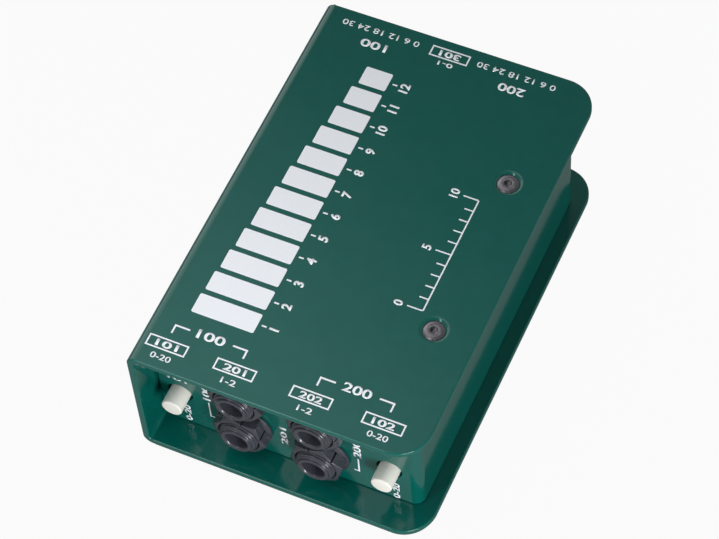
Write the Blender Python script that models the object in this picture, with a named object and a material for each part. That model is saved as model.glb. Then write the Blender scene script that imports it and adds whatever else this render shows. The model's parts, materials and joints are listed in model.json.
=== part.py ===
"""Two-channel direct injection box, about 127 x 83 x 45 mm, in metres with +Z up.

A folded steel cover (top plate, spine at -X, bottom plate) slides over a folded inner chassis
(front panel, end wall at +X, rear panel). The front at -Y carries four stacked phone jacks and
two push buttons, the rear at +Y two three-pin male connectors and one push button. The origin
is under the middle of the rubber base pad, on the surface that the box stands on.
"""

import math

import bmesh
import bpy
from mathutils import Euler, Matrix, Vector

# ---------------------------------------------------------------- Clearances
SEAT_GAP = 0.00025  # between two faces that rest on each other
HOLE_GAP = 0.0002  # round a pin or a leg in its hole, on the radius

# ---------------------------------------------------------------- Cover and base pad
COVER_LENGTH = 0.1270
COVER_WIDTH = 0.0830
COVER_HEIGHT = 0.0435
COVER_SHEET = 0.0019
COVER_BEND_RADIUS = 0.0030  # outside, where the plates fold into the spine
PLATE_CORNER_RADIUS = 0.0095  # plan corners of both plates at the open end
PAD_THICKNESS = 0.0010
PAD_INSET = 0.0006  # the pad's edge inside the bottom plate's free edges

# ---------------------------------------------------------------- Inner chassis
PANEL_RECESS = 0.0092  # plate edge to the front or rear panel
END_RECESS = 0.0042  # plate edge to the end wall
CHASSIS_SHEET = 0.0016
CHASSIS_BEND_RADIUS = 0.0030
CHASSIS_FIT = 0.0004  # chassis to cover plates, above and below
SPINE_GAP = 0.0006  # free edges of the panels to the spine
FLANGE_REACH = 0.0153  # end wall's outer face to the flanges' inner edges
FLANGE_END_GAP = 0.0040  # flange ends to the panels
FLANGE_STEP = 0.0002  # flange face below the panels' edges

# ---------------------------------------------------------------- Cover screws and clinch nuts
SCREW_SPACING = 0.0502  # along the box
SCREW_TO_END_WALL = 0.0078
SCREW_THREAD_RADIUS = 0.00175
SCREW_HEAD_RADIUS = 0.0033
SCREW_HEAD_HEIGHT = 0.0016
SCREW_HEAD_SINK = 0.0001  # head's top below the plate's face
SCREW_SOCKET_FLATS = 0.0020
SCREW_SOCKET_DEPTH = 0.0011
SCREW_TIP_REACH = 0.0006  # thread past the nut
SCREW_POINT_CHAMFER = 0.0004
COUNTERSINK_GAP = 0.0004
CLINCH_NUT_FLATS = 0.0070
CLINCH_NUT_HEIGHT = 0.0030

# ---------------------------------------------------------------- Phone jacks
PATTERN_SHIFT = -0.00115  # middle of the front and rear patterns from the panels' middle
JACK_SPACING_X = 0.0226
JACK_SPACING_Z = 0.0163
JACK_BORE_RADIUS = 0.0032
JACK_MOUTH_CHAMFER = 0.0006
JACK_REACH = 0.0066  # mouth beyond the panel
JACK_NOSE_RADIUS = 0.0045
JACK_NOSE_LENGTH = 0.0017  # taper from the thread to the nose
JACK_THREAD_RADIUS = 0.0057
JACK_BODY_WIDTH = 0.0156
JACK_BODY_LENGTH = 0.0250
JACK_BODY_WALL = 0.0015  # behind the blind end of the bore
JACK_NUT_FLATS = 0.0140
JACK_NUT_HEIGHT = 0.0046
JACK_NUT_CHAMFER = 0.0005
JACK_NUT_FLANGE_RADIUS = 0.0080
JACK_NUT_FLANGE_HEIGHT = 0.0013
JACK_NUT_TURNS = {  # one flat's direction from +X towards +Z, in degrees, as each was tightened
    "upper_left": 22,
    "upper_right": 8,
    "lower_left": 20,
    "lower_right": 45,
}
CONTACT_THICKNESS = 0.0004
CONTACT_WIDTH = 0.0018
CONTACT_TO_AXIS = 0.0029  # tip of each leaf from the bore's axis
SLEEVE_CONTACT_DEPTH = 0.0060  # behind the panel's outer face
TIP_CONTACT_DEPTH = 0.0210
LEG_REACH = 0.0007  # leg past the far face of its board

# ---------------------------------------------------------------- Circuit boards
BOARD_THICKNESS = 0.0016
BOARD_EDGE_GAP = 0.0008  # main board to the panels, spine and end wall
REAR_BOARD_MARGIN = 0.0030  # rear board's edges inside the chassis
HEADER_WIDTH = 0.0254
HEADER_DEPTH = 0.0025
HEADER_HEIGHT = 0.0060
HEADER_WAYS = 6
HEADER_NOTCH = 0.0007

# ---------------------------------------------------------------- Push buttons
PAD_BUTTON_MARGIN = 0.00775  # button axis to the panel's end, before the pattern's shift
PAD_BUTTON_DROP = 0.0050  # button axis below the main board's middle
CAP_RADIUS = 0.0030
CAP_LENGTH = 0.0096
CAP_REACH = 0.0055  # front face beyond the panel
CAP_EDGE = 0.0003
CAP_SOCKET_DEPTH = 0.0045
CAP_HOLE_GAP = 0.00065  # cap to its hole in the panel
BUTTON_TRAVEL = 0.0026
STEM_WIDTH = 0.0026
STEM_GAP = 0.0003  # round the stem in the cap and in the switch
STEM_IN_SWITCH = 0.0030
SWITCH_WIDTH = 0.0084
SWITCH_LENGTH = 0.0078
SWITCH_SETBACK = 0.0103  # panel's outer face to the switch
SPRING_TURNS = 5
SPRING_WIRE = 0.0005
SPRING_RADIUS = 0.00235

# ---------------------------------------------------------------- Three-pin connectors
XLR_MARGIN = 0.01815  # connector axis to the panel's end, before the pattern's shift
XLR_FLANGE_WIDTH = 0.0260
XLR_FLANGE_HEIGHT = 0.0310
XLR_FLANGE_THICKNESS = 0.0020
XLR_FLANGE_CORNER = 0.0030
XLR_CUP_RADIUS = 0.00805
XLR_CUP_DEPTH = 0.0135  # flange's face to the cup's floor
XLR_BARREL_RADIUS = 0.0112
XLR_BARREL_LENGTH = 0.0145  # behind the panel's outer face
XLR_PANEL_HOLE_GAP = 0.0003
XLR_PIN_CIRCLE = 0.00381
XLR_PIN_RADIUS = 0.0012
XLR_PIN_RECESS = 0.0016  # pin tips below the flange's face
XLR_TAIL_RADIUS = 0.0005
XLR_TAIL_START = 0.0012  # rear end of the thick part of a pin, before the insert's rear face
XLR_SCREW_SPACING_X = 0.0190
XLR_SCREW_SPACING_Z = 0.0240
XLR_SCREW_RADIUS = 0.0014
XLR_SCREW_HEAD_RADIUS = 0.0026
XLR_SCREW_HEAD_HEIGHT = 0.0015
XLR_SCREW_TIP_REACH = 0.0030  # behind the panel

# ---------------------------------------------------------------- Transformers
TRANSFORMER_SPACING = 0.0340
TRANSFORMER_Y = 0.0030
TRANSFORMER_RADIUS = 0.0110
TRANSFORMER_HEIGHT = 0.0160
TRANSFORMER_EDGE = 0.0015

# ---------------------------------------------------------------- Facets
FINE = 24  # sides of what shows
COARSE = 12  # sides of small or inner pieces
ARC_STEPS = 5  # per rounded corner

# ---------------------------------------------------------------- Derived levels and faces
COVER_BOTTOM = PAD_THICKNESS + SEAT_GAP
COVER_TOP = COVER_BOTTOM + COVER_HEIGHT
MIDDLE_Z = COVER_BOTTOM + COVER_HEIGHT / 2
FRONT_FACE_Y = PANEL_RECESS - COVER_LENGTH / 2
REAR_FACE_Y = -FRONT_FACE_Y
SPINE_INNER_X = COVER_SHEET - COVER_WIDTH / 2
END_WALL_X = COVER_WIDTH / 2 - END_RECESS
PANEL_WIDTH = END_WALL_X - SPINE_INNER_X
PATTERN_X = (SPINE_INNER_X + END_WALL_X) / 2 + PATTERN_SHIFT
PAD_BUTTON_SPACING = PANEL_WIDTH - 2 * PAD_BUTTON_MARGIN
XLR_SPACING = PANEL_WIDTH - 2 * XLR_MARGIN
CHASSIS_BOTTOM = COVER_BOTTOM + COVER_SHEET + CHASSIS_FIT
CHASSIS_TOP = COVER_TOP - COVER_SHEET - CHASSIS_FIT
SCREW_X = END_WALL_X - SCREW_TO_END_WALL
SCREW_HOLE_RADIUS = SCREW_THREAD_RADIUS + COUNTERSINK_GAP
FLANGE_DEPTH = COVER_SHEET + CHASSIS_FIT + FLANGE_STEP + CHASSIS_SHEET  # its inner face
CLINCH_NUT_TOP = -(FLANGE_DEPTH + SEAT_GAP)
SCREW_TIP = CLINCH_NUT_TOP - CLINCH_NUT_HEIGHT - SCREW_TIP_REACH
BEHIND_PANEL = CHASSIS_SHEET + SEAT_GAP
JACK_TO_BOARD = JACK_SPACING_Z / 2 - BOARD_THICKNESS / 2
JACK_BODY_HALF_HEIGHT = JACK_TO_BOARD - SEAT_GAP
CONTACT_LEG_X = JACK_BODY_WIDTH / 2 + SEAT_GAP
LEG_LENGTH = JACK_TO_BOARD + BOARD_THICKNESS + LEG_REACH
REAR_BOARD_DEPTH = SWITCH_SETBACK + SWITCH_LENGTH + SEAT_GAP
REAR_BOARD_Y = REAR_FACE_Y - REAR_BOARD_DEPTH
MAIN_BOARD_BOTTOM = MIDDLE_Z - BOARD_THICKNESS / 2
MAIN_BOARD_TOP = MIDDLE_Z + BOARD_THICKNESS / 2
REAR_BOARD_BACK_Y = REAR_BOARD_Y - BOARD_THICKNESS
MAIN_BOARD_REAR_Y = REAR_BOARD_BACK_Y - LEG_REACH - 2 * SEAT_GAP
SWITCH_HEIGHT = 2 * (PAD_BUTTON_DROP - BOARD_THICKNESS / 2 - SEAT_GAP)
XLR_FLOOR = SEAT_GAP + XLR_FLANGE_THICKNESS - XLR_CUP_DEPTH
XLR_INSERT_BACK = SEAT_GAP - REAR_BOARD_DEPTH
CUT_THROUGH = 0.0050  # how far a cutter runs past what it cuts

# A panel frame has its origin on a panel's outer face, +Z out of the box and +Y up.
FACING_FRONT = Euler((math.pi / 2, 0, 0))
FACING_FRONT_INVERTED = Euler((math.pi / 2, math.pi, 0))
FACING_REAR = Euler((math.pi / 2, 0, math.pi))
UPRIGHT = Euler((0, 0, 0))
INVERTED = Euler((math.pi, 0, 0))

SIDES = {"left": -1, "right": 1}
ROWS = {"lower": -1, "upper": 1}
ENDS = {"front": -1, "rear": 1}
FACES = {"bottom": -1, "top": 1}

FINISHES = {
    "green_enamel": ((0.026, 0.135, 0.105), 0.25, 0.0),
    "black_plastic": ((0.035, 0.035, 0.042), 0.42, 0.0),
    "cream_plastic": ((0.780, 0.730, 0.600), 0.45, 0.0),
    "black_screw": ((0.060, 0.062, 0.068), 0.38, 0.8),
    "zinc_steel": ((0.560, 0.560, 0.550), 0.35, 1.0),
    "nickel": ((0.700, 0.690, 0.660), 0.22, 1.0),
    "black_metal": ((0.030, 0.030, 0.032), 0.40, 0.6),
    "circuit_board": ((0.030, 0.160, 0.070), 0.40, 0.0),
    "transformer_can": ((0.620, 0.620, 0.610), 0.30, 1.0),
    "base_rubber": ((0.030, 0.030, 0.030), 0.85, 0.0),
}


# ---------------------------------------------------------------- Modelling tools
def clear_scene():
    for obj in list(bpy.data.objects):
        bpy.data.objects.remove(obj)


def material(name):
    found = bpy.data.materials.get(name)
    if found:
        return found
    colour, roughness, metallic = FINISHES[name]
    made = bpy.data.materials.new(name)
    made.use_nodes = True
    shader = made.node_tree.nodes["Principled BSDF"]
    shader.inputs["Base Color"].default_value = (*colour, 1)
    shader.inputs["Roughness"].default_value = roughness
    shader.inputs["Metallic"].default_value = metallic
    made.diffuse_color = (*colour, 1)
    return made


def placed(at, turn=UPRIGHT):
    return Matrix.Translation(Vector(at)) @ turn.to_matrix().to_4x4()


def on_front(x, z, turn=FACING_FRONT):
    return placed((x, FRONT_FACE_Y, z), turn)


def on_rear(x, z):
    return placed((x, REAR_FACE_Y, z), FACING_REAR)


def ring(bm, matrix, radius, height, segments, flats=0):
    """Vertices round local Z. With flats, the ring is a polygon and radius its half width."""
    if radius == 0:
        return [bm.verts.new(matrix @ Vector((0, 0, height)))]
    verts = []
    for index in range(segments):
        angle = 2 * math.pi * index / segments
        reach = radius
        if flats:
            slice_angle = 2 * math.pi / flats
            reach = radius / math.cos(angle % slice_angle - slice_angle / 2)
        point = Vector((reach * math.cos(angle), reach * math.sin(angle), height))
        verts.append(bm.verts.new(matrix @ point))
    return verts


def bridge(bm, lower, upper):
    """Faces between two rings, where a ring may be a single point."""
    count = max(len(lower), len(upper))
    for index in range(count):
        after = (index + 1) % count
        if len(lower) == 1:
            bm.faces.new((lower[0], upper[after], upper[index]))
        elif len(upper) == 1:
            bm.faces.new((lower[index], lower[after], upper[0]))
        else:
            bm.faces.new((lower[index], lower[after], upper[after], upper[index]))


def add_turned(bm, matrix, profile, segments=FINE, hollow=False):
    """A turned solid from (radius, height[, flats]) points. A hollow profile is a closed loop."""
    rings = [ring(bm, matrix, point[0], point[1], segments, *point[2:]) for point in profile]
    for lower, upper in zip(rings, rings[1:]):
        bridge(bm, lower, upper)
    if hollow:
        bridge(bm, rings[-1], rings[0])
        return
    for end in (rings[0], rings[-1]):
        if len(end) > 1:
            bm.faces.new(end)


def add_prism(bm, matrix, outline, low, high):
    """An outline in local XY, extruded from low to high along local Z."""
    base = bm.faces.new([bm.verts.new(matrix @ Vector((x, y, low))) for x, y in outline])
    made = bmesh.ops.extrude_face_region(bm, geom=[base])
    top = [item for item in made["geom"] if isinstance(item, bmesh.types.BMVert)]
    lift = matrix.to_3x3() @ Vector((0, 0, high - low))
    bmesh.ops.translate(bm, verts=top, vec=lift)


def add_box(bm, matrix, low, high):
    outline = [(low[0], low[1]), (high[0], low[1]), (high[0], high[1]), (low[0], high[1])]
    add_prism(bm, matrix, outline, low[2], high[2])


def rounded(corners):
    """An outline from (x, y, radius) corners, each round one drawn as an arc."""
    outline = []
    for index, (x, y, radius) in enumerate(corners):
        here = Vector((x, y))
        if radius == 0:
            outline.append((x, y))
            continue
        before = (Vector(corners[index - 1][:2]) - here).normalized()
        after = (Vector(corners[(index + 1) % len(corners)][:2]) - here).normalized()
        half = before.angle(after) / 2
        centre = here + (before + after).normalized() * radius / math.sin(half)
        start = here + before * radius / math.tan(half) - centre
        sweep = (here + after * radius / math.tan(half) - centre).angle_signed(start)
        for step in range(ARC_STEPS + 1):
            arm = start.copy()
            arm.rotate(Matrix.Rotation(sweep * step / ARC_STEPS, 2))
            outline.append(tuple(centre + arm))
    return outline


def rounded_rectangle(width, height, radius):
    x, y = width / 2, height / 2
    return rounded([(-x, -y, radius), (x, -y, radius), (x, y, radius), (-x, y, radius)])


def solid(name, bm, finish, matrix=Matrix.Identity(4), parent=None):
    """An object from a bmesh drawn in its own frame."""
    bmesh.ops.recalc_face_normals(bm, faces=bm.faces)
    mesh = bpy.data.meshes.new(name)
    bm.to_mesh(mesh)
    bm.free()
    mesh.shade_smooth()
    mesh.set_sharp_from_angle(angle=math.radians(30))
    obj = bpy.data.objects.new(name, mesh)
    bpy.context.scene.collection.objects.link(obj)
    obj.matrix_world = matrix
    if finish:
        mesh.materials.append(material(finish))
    if parent:
        obj.parent = parent
        obj.matrix_parent_inverse = parent.matrix_world.inverted()
    return obj


def helper(name, bm, matrix=Matrix.Identity(4)):
    """A cutter, or a shape that is joined to another, kept out of the render."""
    obj = solid(name, bm, None, matrix)
    obj.hide_render = True
    obj.display_type = "WIRE"
    return obj


def boolean(obj, operation, other):
    modifier = obj.modifiers.new(other.name, "BOOLEAN")
    modifier.operation = operation
    modifier.object = other


def pivot(name, matrix):
    empty = bpy.data.objects.new(name, None)
    bpy.context.scene.collection.objects.link(empty)
    empty.matrix_world = matrix
    return empty


def cylinder(bm, matrix, radius, low, high, segments=FINE):
    add_turned(bm, matrix, [(radius, low), (radius, high)], segments)


# ---------------------------------------------------------------- Where the repeats stand
def screw_places():
    """Name, position on the plate's outer face, and the frame that points out of the plate."""
    for face, side in FACES.items():
        z = COVER_TOP if side > 0 else COVER_BOTTOM
        turn = UPRIGHT if side > 0 else INVERTED
        for end, along in ENDS.items():
            yield f"{face}_{end}", placed((SCREW_X, along * SCREW_SPACING / 2, z), turn)


def jack_places():
    for row, up in ROWS.items():
        turn = FACING_FRONT if up > 0 else FACING_FRONT_INVERTED
        for side, across in SIDES.items():
            x = PATTERN_X + across * JACK_SPACING_X / 2
            yield f"{row}_{side}", on_front(x, MIDDLE_Z + up * JACK_SPACING_Z / 2, turn)


def button_places():
    for side, across in SIDES.items():
        x = PATTERN_X + across * PAD_BUTTON_SPACING / 2
        yield f"{side}_pad", on_front(x, MIDDLE_Z - PAD_BUTTON_DROP)
    yield "ground_lift", on_rear(PATTERN_X, MIDDLE_Z)


def xlr_places():
    for side, across in SIDES.items():
        yield side, on_rear(PATTERN_X + across * XLR_SPACING / 2, MIDDLE_Z)


def xlr_screw_offsets():
    """The two diagonal fixing screws of one connector, in its panel frame."""
    for row, up in ROWS.items():
        yield row, (-up * XLR_SCREW_SPACING_X / 2, up * XLR_SCREW_SPACING_Z / 2, 0)


def xlr_pin_offsets():
    """Three pins a quarter turn apart, the middle one below the connector's axis."""
    for number, angle in (("1", math.pi), ("2", 0), ("3", 1.5 * math.pi)):
        yield number, (XLR_PIN_CIRCLE * math.cos(angle), XLR_PIN_CIRCLE * math.sin(angle), 0)


# ---------------------------------------------------------------- Cover, pad and chassis
def cover_section():
    """The cover's cross-section in X and Z, a C open towards +X."""
    out = COVER_BEND_RADIUS
    inner = max(COVER_BEND_RADIUS - COVER_SHEET, 0)
    left, right = -COVER_WIDTH / 2, COVER_WIDTH / 2
    return rounded(
        [
            (right, COVER_TOP, 0),
            (left, COVER_TOP, out),
            (left, COVER_BOTTOM, out),
            (right, COVER_BOTTOM, 0),
            (right, COVER_BOTTOM + COVER_SHEET, 0),
            (SPINE_INNER_X, COVER_BOTTOM + COVER_SHEET, inner),
            (SPINE_INNER_X, COVER_TOP - COVER_SHEET, inner),
            (right, COVER_TOP - COVER_SHEET, 0),
        ]
    )


def plan_outline(inset, left):
    """The plates' outline seen from above, with both corners at the open end rounded."""
    x, y = COVER_WIDTH / 2 - inset, COVER_LENGTH / 2 - inset
    radius = PLATE_CORNER_RADIUS - inset
    return rounded([(left, -y, 0), (x, -y, radius), (x, y, radius), (left, y, 0)])


def make_cover():
    bm = bmesh.new()
    along_y = placed((0, 0, 0), Euler((math.pi / 2, 0, 0)))
    add_prism(bm, along_y, cover_section(), -COVER_LENGTH / 2, COVER_LENGTH / 2)
    cover = solid("outer_cover", bm, "green_enamel")
    bm = bmesh.new()
    past_spine = -COVER_WIDTH / 2 - CUT_THROUGH
    high = COVER_TOP + CUT_THROUGH
    add_prism(bm, Matrix.Identity(4), plan_outline(0, past_spine), -CUT_THROUGH, high)
    boolean(cover, "INTERSECT", helper("cover_plan", bm))
    bm = bmesh.new()
    head_low = -SCREW_HEAD_HEIGHT
    slope = (SCREW_HEAD_RADIUS - SCREW_THREAD_RADIUS) / SCREW_HEAD_HEIGHT
    for _, matrix in screw_places():
        rim = SCREW_HEAD_RADIUS + COUNTERSINK_GAP
        profile = [
            (SCREW_HOLE_RADIUS, -CUT_THROUGH),
            (SCREW_HOLE_RADIUS, head_low),
            (rim, 0),
            (rim + slope * COUNTERSINK_GAP, COUNTERSINK_GAP),
        ]
        add_turned(bm, matrix, profile)
    boolean(cover, "DIFFERENCE", helper("cover_screw_holes", bm))


def make_base_pad():
    bm = bmesh.new()
    flat_start = COVER_BEND_RADIUS - COVER_WIDTH / 2
    outline = plan_outline(PAD_INSET, flat_start)
    add_prism(bm, Matrix.Identity(4), outline, 0, PAD_THICKNESS)
    pad = solid("base_pad", bm, "base_rubber")
    bm = bmesh.new()
    for name, matrix in screw_places():
        if name.startswith("bottom"):
            cylinder(bm, matrix, SCREW_HEAD_RADIUS + 2 * COUNTERSINK_GAP, -CUT_THROUGH, CUT_THROUGH)
    boolean(pad, "DIFFERENCE", helper("base_pad_holes", bm))


def chassis_plan():
    """The folded chassis seen from above, a U open towards the spine."""
    left = SPINE_INNER_X + SPINE_GAP
    inner = max(CHASSIS_BEND_RADIUS - CHASSIS_SHEET, 0)
    wall_x = END_WALL_X - CHASSIS_SHEET
    front = FRONT_FACE_Y + CHASSIS_SHEET
    rear = REAR_FACE_Y - CHASSIS_SHEET
    return rounded(
        [
            (left, FRONT_FACE_Y, 0),
            (END_WALL_X, FRONT_FACE_Y, CHASSIS_BEND_RADIUS),
            (END_WALL_X, REAR_FACE_Y, CHASSIS_BEND_RADIUS),
            (left, REAR_FACE_Y, 0),
            (left, rear, 0),
            (wall_x, rear, inner),
            (wall_x, front, inner),
            (left, front, 0),
        ]
    )


def chassis_flanges():
    """The end wall's flanges, which lie under the top plate and over the bottom plate."""
    bm = bmesh.new()
    low_x = END_WALL_X - FLANGE_REACH
    high_x = END_WALL_X - CHASSIS_SHEET / 2
    reach_y = REAR_FACE_Y - CHASSIS_SHEET - FLANGE_END_GAP
    for low_z in (CHASSIS_BOTTOM + FLANGE_STEP, CHASSIS_TOP - FLANGE_STEP - CHASSIS_SHEET):
        high_z = low_z + CHASSIS_SHEET
        add_box(bm, Matrix.Identity(4), (low_x, -reach_y, low_z), (high_x, reach_y, high_z))
    return helper("chassis_flanges", bm)


def chassis_cutters():
    bm = bmesh.new()
    for _, matrix in jack_places():
        cylinder(bm, matrix, JACK_THREAD_RADIUS + HOLE_GAP, -CUT_THROUGH, CUT_THROUGH)
    for _, matrix in button_places():
        cylinder(bm, matrix, CAP_RADIUS + CAP_HOLE_GAP, -CUT_THROUGH, CUT_THROUGH)
    for _, matrix in xlr_places():
        radius = XLR_BARREL_RADIUS + XLR_PANEL_HOLE_GAP
        cylinder(bm, matrix, radius, -CUT_THROUGH, CUT_THROUGH)
        for _, offset in xlr_screw_offsets():
            screw = matrix @ Matrix.Translation(offset)
            cylinder(bm, screw, XLR_SCREW_RADIUS + HOLE_GAP, -CUT_THROUGH, CUT_THROUGH, COARSE)
    for _, matrix in screw_places():
        cylinder(bm, matrix, SCREW_HOLE_RADIUS, SCREW_TIP, 0, COARSE)
    return helper("chassis_holes", bm)


def make_chassis():
    bm = bmesh.new()
    add_prism(bm, Matrix.Identity(4), chassis_plan(), CHASSIS_BOTTOM, CHASSIS_TOP)
    chassis = solid("inner_chassis", bm, "green_enamel")
    boolean(chassis, "UNION", chassis_flanges())
    boolean(chassis, "DIFFERENCE", chassis_cutters())


def make_cover_screw(name, matrix):
    bm = bmesh.new()
    top = -SCREW_HEAD_SINK
    socket_floor = top - SCREW_SOCKET_DEPTH
    socket = SCREW_SOCKET_FLATS / 2
    profile = [
        (0, SCREW_TIP),
        (SCREW_THREAD_RADIUS - SCREW_POINT_CHAMFER, SCREW_TIP),
        (SCREW_THREAD_RADIUS, SCREW_TIP + SCREW_POINT_CHAMFER),
        (SCREW_THREAD_RADIUS, top - SCREW_HEAD_HEIGHT),
        (SCREW_HEAD_RADIUS, top),
        (socket, top, 6),
        (socket, socket_floor, 6),
        (0, socket_floor),
    ]
    add_turned(bm, Matrix.Identity(4), profile)
    solid(f"cover_screw_{name}", bm, "black_screw", matrix)


def make_clinch_nut(name, matrix):
    bm = bmesh.new()
    high = CLINCH_NUT_TOP
    low = high - CLINCH_NUT_HEIGHT
    bore = SCREW_THREAD_RADIUS + HOLE_GAP
    outer = CLINCH_NUT_FLATS / 2
    profile = [(bore, low), (outer, low, 6), (outer, high, 6), (bore, high)]
    add_turned(bm, Matrix.Identity(4), profile, COARSE, hollow=True)
    solid(f"clinch_nut_{name}", bm, "zinc_steel", matrix)


# ---------------------------------------------------------------- Phone jacks
def make_jack_housing(name, matrix):
    bm = bmesh.new()
    half = JACK_BODY_WIDTH / 2
    body_back = -(BEHIND_PANEL + JACK_BODY_LENGTH)
    low = (-half, -JACK_BODY_HALF_HEIGHT, body_back)
    add_box(bm, Matrix.Identity(4), low, (half, JACK_BODY_HALF_HEIGHT, -BEHIND_PANEL))
    housing = solid(f"{name}_jack_housing", bm, "black_plastic", matrix)
    bm = bmesh.new()
    overlap = -(BEHIND_PANEL + JACK_THREAD_RADIUS)
    profile = [
        (0, overlap),
        (JACK_THREAD_RADIUS, overlap),
        (JACK_THREAD_RADIUS, JACK_REACH - JACK_NOSE_LENGTH),
        (JACK_NOSE_RADIUS, JACK_REACH),
        (0, JACK_REACH),
    ]
    add_turned(bm, Matrix.Identity(4), profile)
    boolean(housing, "UNION", helper(f"{name}_jack_bushing", bm, matrix))
    bm = bmesh.new()
    rim = JACK_BORE_RADIUS + JACK_MOUTH_CHAMFER
    profile = [
        (0, body_back + JACK_BODY_WALL),
        (JACK_BORE_RADIUS, body_back + JACK_BODY_WALL),
        (JACK_BORE_RADIUS, JACK_REACH - JACK_MOUTH_CHAMFER),
        (rim + CUT_THROUGH, JACK_REACH + CUT_THROUGH),
        (0, JACK_REACH + CUT_THROUGH),
    ]
    add_turned(bm, Matrix.Identity(4), profile)
    boolean(housing, "DIFFERENCE", helper(f"{name}_jack_bore", bm, matrix))
    bm = bmesh.new()
    slot_y = CONTACT_THICKNESS / 2 + SEAT_GAP
    slot_z = CONTACT_WIDTH / 2 + SEAT_GAP
    for depth, side in ((SLEEVE_CONTACT_DEPTH, 1), (TIP_CONTACT_DEPTH, -1)):
        xs = sorted((0, side * (half + CUT_THROUGH)))
        low = (xs[0], -slot_y, -depth - slot_z)
        add_box(bm, Matrix.Identity(4), low, (xs[1], slot_y, slot_z - depth))
    boolean(housing, "DIFFERENCE", helper(f"{name}_jack_slots", bm, matrix))


def make_jack_contact(name, matrix, depth, side):
    """A leaf that reaches into the bore and a leg that goes through the board."""
    bm = bmesh.new()
    outer = CONTACT_LEG_X + CONTACT_THICKNESS
    half = CONTACT_THICKNESS / 2
    outline = [
        (side * CONTACT_TO_AXIS, half),
        (side * outer, half),
        (side * outer, -LEG_LENGTH),
        (side * CONTACT_LEG_X, -LEG_LENGTH),
        (side * CONTACT_LEG_X, -half),
        (side * CONTACT_TO_AXIS, -half),
    ]
    low = -depth - CONTACT_WIDTH / 2
    add_prism(bm, Matrix.Identity(4), outline, low, low + CONTACT_WIDTH)
    solid(name, bm, "nickel", matrix)


def make_jack_nut(name, matrix):
    bm = bmesh.new()
    at = matrix.translation
    corner_turn = math.radians(JACK_NUT_TURNS[name] - 30)
    frame = on_front(at.x, at.z) @ Matrix.Rotation(corner_turn, 4, "Z")
    bore = JACK_THREAD_RADIUS + HOLE_GAP
    flats = JACK_NUT_FLATS / 2
    shoulder = SEAT_GAP + JACK_NUT_FLANGE_HEIGHT
    top = SEAT_GAP + JACK_NUT_HEIGHT
    profile = [
        (bore, SEAT_GAP),
        (JACK_NUT_FLANGE_RADIUS, SEAT_GAP),
        (JACK_NUT_FLANGE_RADIUS, shoulder),
        (flats, shoulder, 6),
        (flats, top - JACK_NUT_CHAMFER, 6),
        (flats - JACK_NUT_CHAMFER / 2, top),
        (bore, top),
    ]
    add_turned(bm, Matrix.Identity(4), profile, hollow=True)
    solid(f"{name}_jack_nut", bm, "black_plastic", frame)


# ---------------------------------------------------------------- Boards
def make_main_board():
    bm = bmesh.new()
    left = SPINE_INNER_X + BOARD_EDGE_GAP
    right = END_WALL_X - CHASSIS_SHEET - BOARD_EDGE_GAP
    front = FRONT_FACE_Y + CHASSIS_SHEET + BOARD_EDGE_GAP
    low = (left, front, MAIN_BOARD_BOTTOM)
    add_box(bm, Matrix.Identity(4), low, (right, MAIN_BOARD_REAR_Y, MAIN_BOARD_TOP))
    board = solid("main_board", bm, "circuit_board")
    bm = bmesh.new()
    for _, matrix in jack_places():
        for depth, side in ((SLEEVE_CONTACT_DEPTH, 1), (TIP_CONTACT_DEPTH, -1)):
            near = side * (CONTACT_LEG_X - HOLE_GAP)
            far = side * (CONTACT_LEG_X + CONTACT_THICKNESS + HOLE_GAP)
            half = CONTACT_WIDTH / 2 + HOLE_GAP
            low = (min(near, far), -LEG_LENGTH - CUT_THROUGH, -depth - half)
            add_box(bm, matrix, low, (max(near, far), -JACK_TO_BOARD / 2, half - depth))
    boolean(board, "DIFFERENCE", helper("main_board_holes", bm))


def make_rear_board():
    bm = bmesh.new()
    left = SPINE_INNER_X + REAR_BOARD_MARGIN
    right = END_WALL_X - FLANGE_REACH + REAR_BOARD_MARGIN
    low_z = CHASSIS_BOTTOM + CHASSIS_SHEET + FLANGE_STEP + REAR_BOARD_MARGIN / 3
    high_z = CHASSIS_TOP - CHASSIS_SHEET - FLANGE_STEP - REAR_BOARD_MARGIN / 3
    low = (left, REAR_BOARD_BACK_Y, low_z)
    add_box(bm, Matrix.Identity(4), low, (right, REAR_BOARD_Y, high_z))
    board = solid("rear_board", bm, "circuit_board")
    bm = bmesh.new()
    deep = -(REAR_BOARD_DEPTH + BOARD_THICKNESS + CUT_THROUGH)
    for _, matrix in xlr_places():
        for _, offset in xlr_pin_offsets():
            pin = matrix @ Matrix.Translation(offset)
            cylinder(bm, pin, XLR_TAIL_RADIUS + HOLE_GAP, deep, deep + 2 * CUT_THROUGH, COARSE)
    boolean(board, "DIFFERENCE", helper("rear_board_holes", bm))


def make_header():
    """The block of the pin header that joins the two boards, notched between its ways."""
    pitch = HEADER_WIDTH / HEADER_WAYS
    outline = [(0, 0), (HEADER_WIDTH, 0)]
    for way in range(HEADER_WAYS, 0, -1):
        right = way * pitch
        outline.append((right, HEADER_HEIGHT - HEADER_NOTCH))
        outline.append((right - HEADER_NOTCH, HEADER_HEIGHT))
        outline.append((right - pitch + HEADER_NOTCH, HEADER_HEIGHT))
    outline.append((0, HEADER_HEIGHT - HEADER_NOTCH))
    bm = bmesh.new()
    add_prism(bm, Matrix.Identity(4), outline, 0, HEADER_DEPTH)
    at = (PATTERN_X - HEADER_WIDTH / 2, REAR_BOARD_BACK_Y - SEAT_GAP, MAIN_BOARD_TOP + SEAT_GAP)
    solid("board_link_header", bm, "black_plastic", placed(at, FACING_FRONT))


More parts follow.
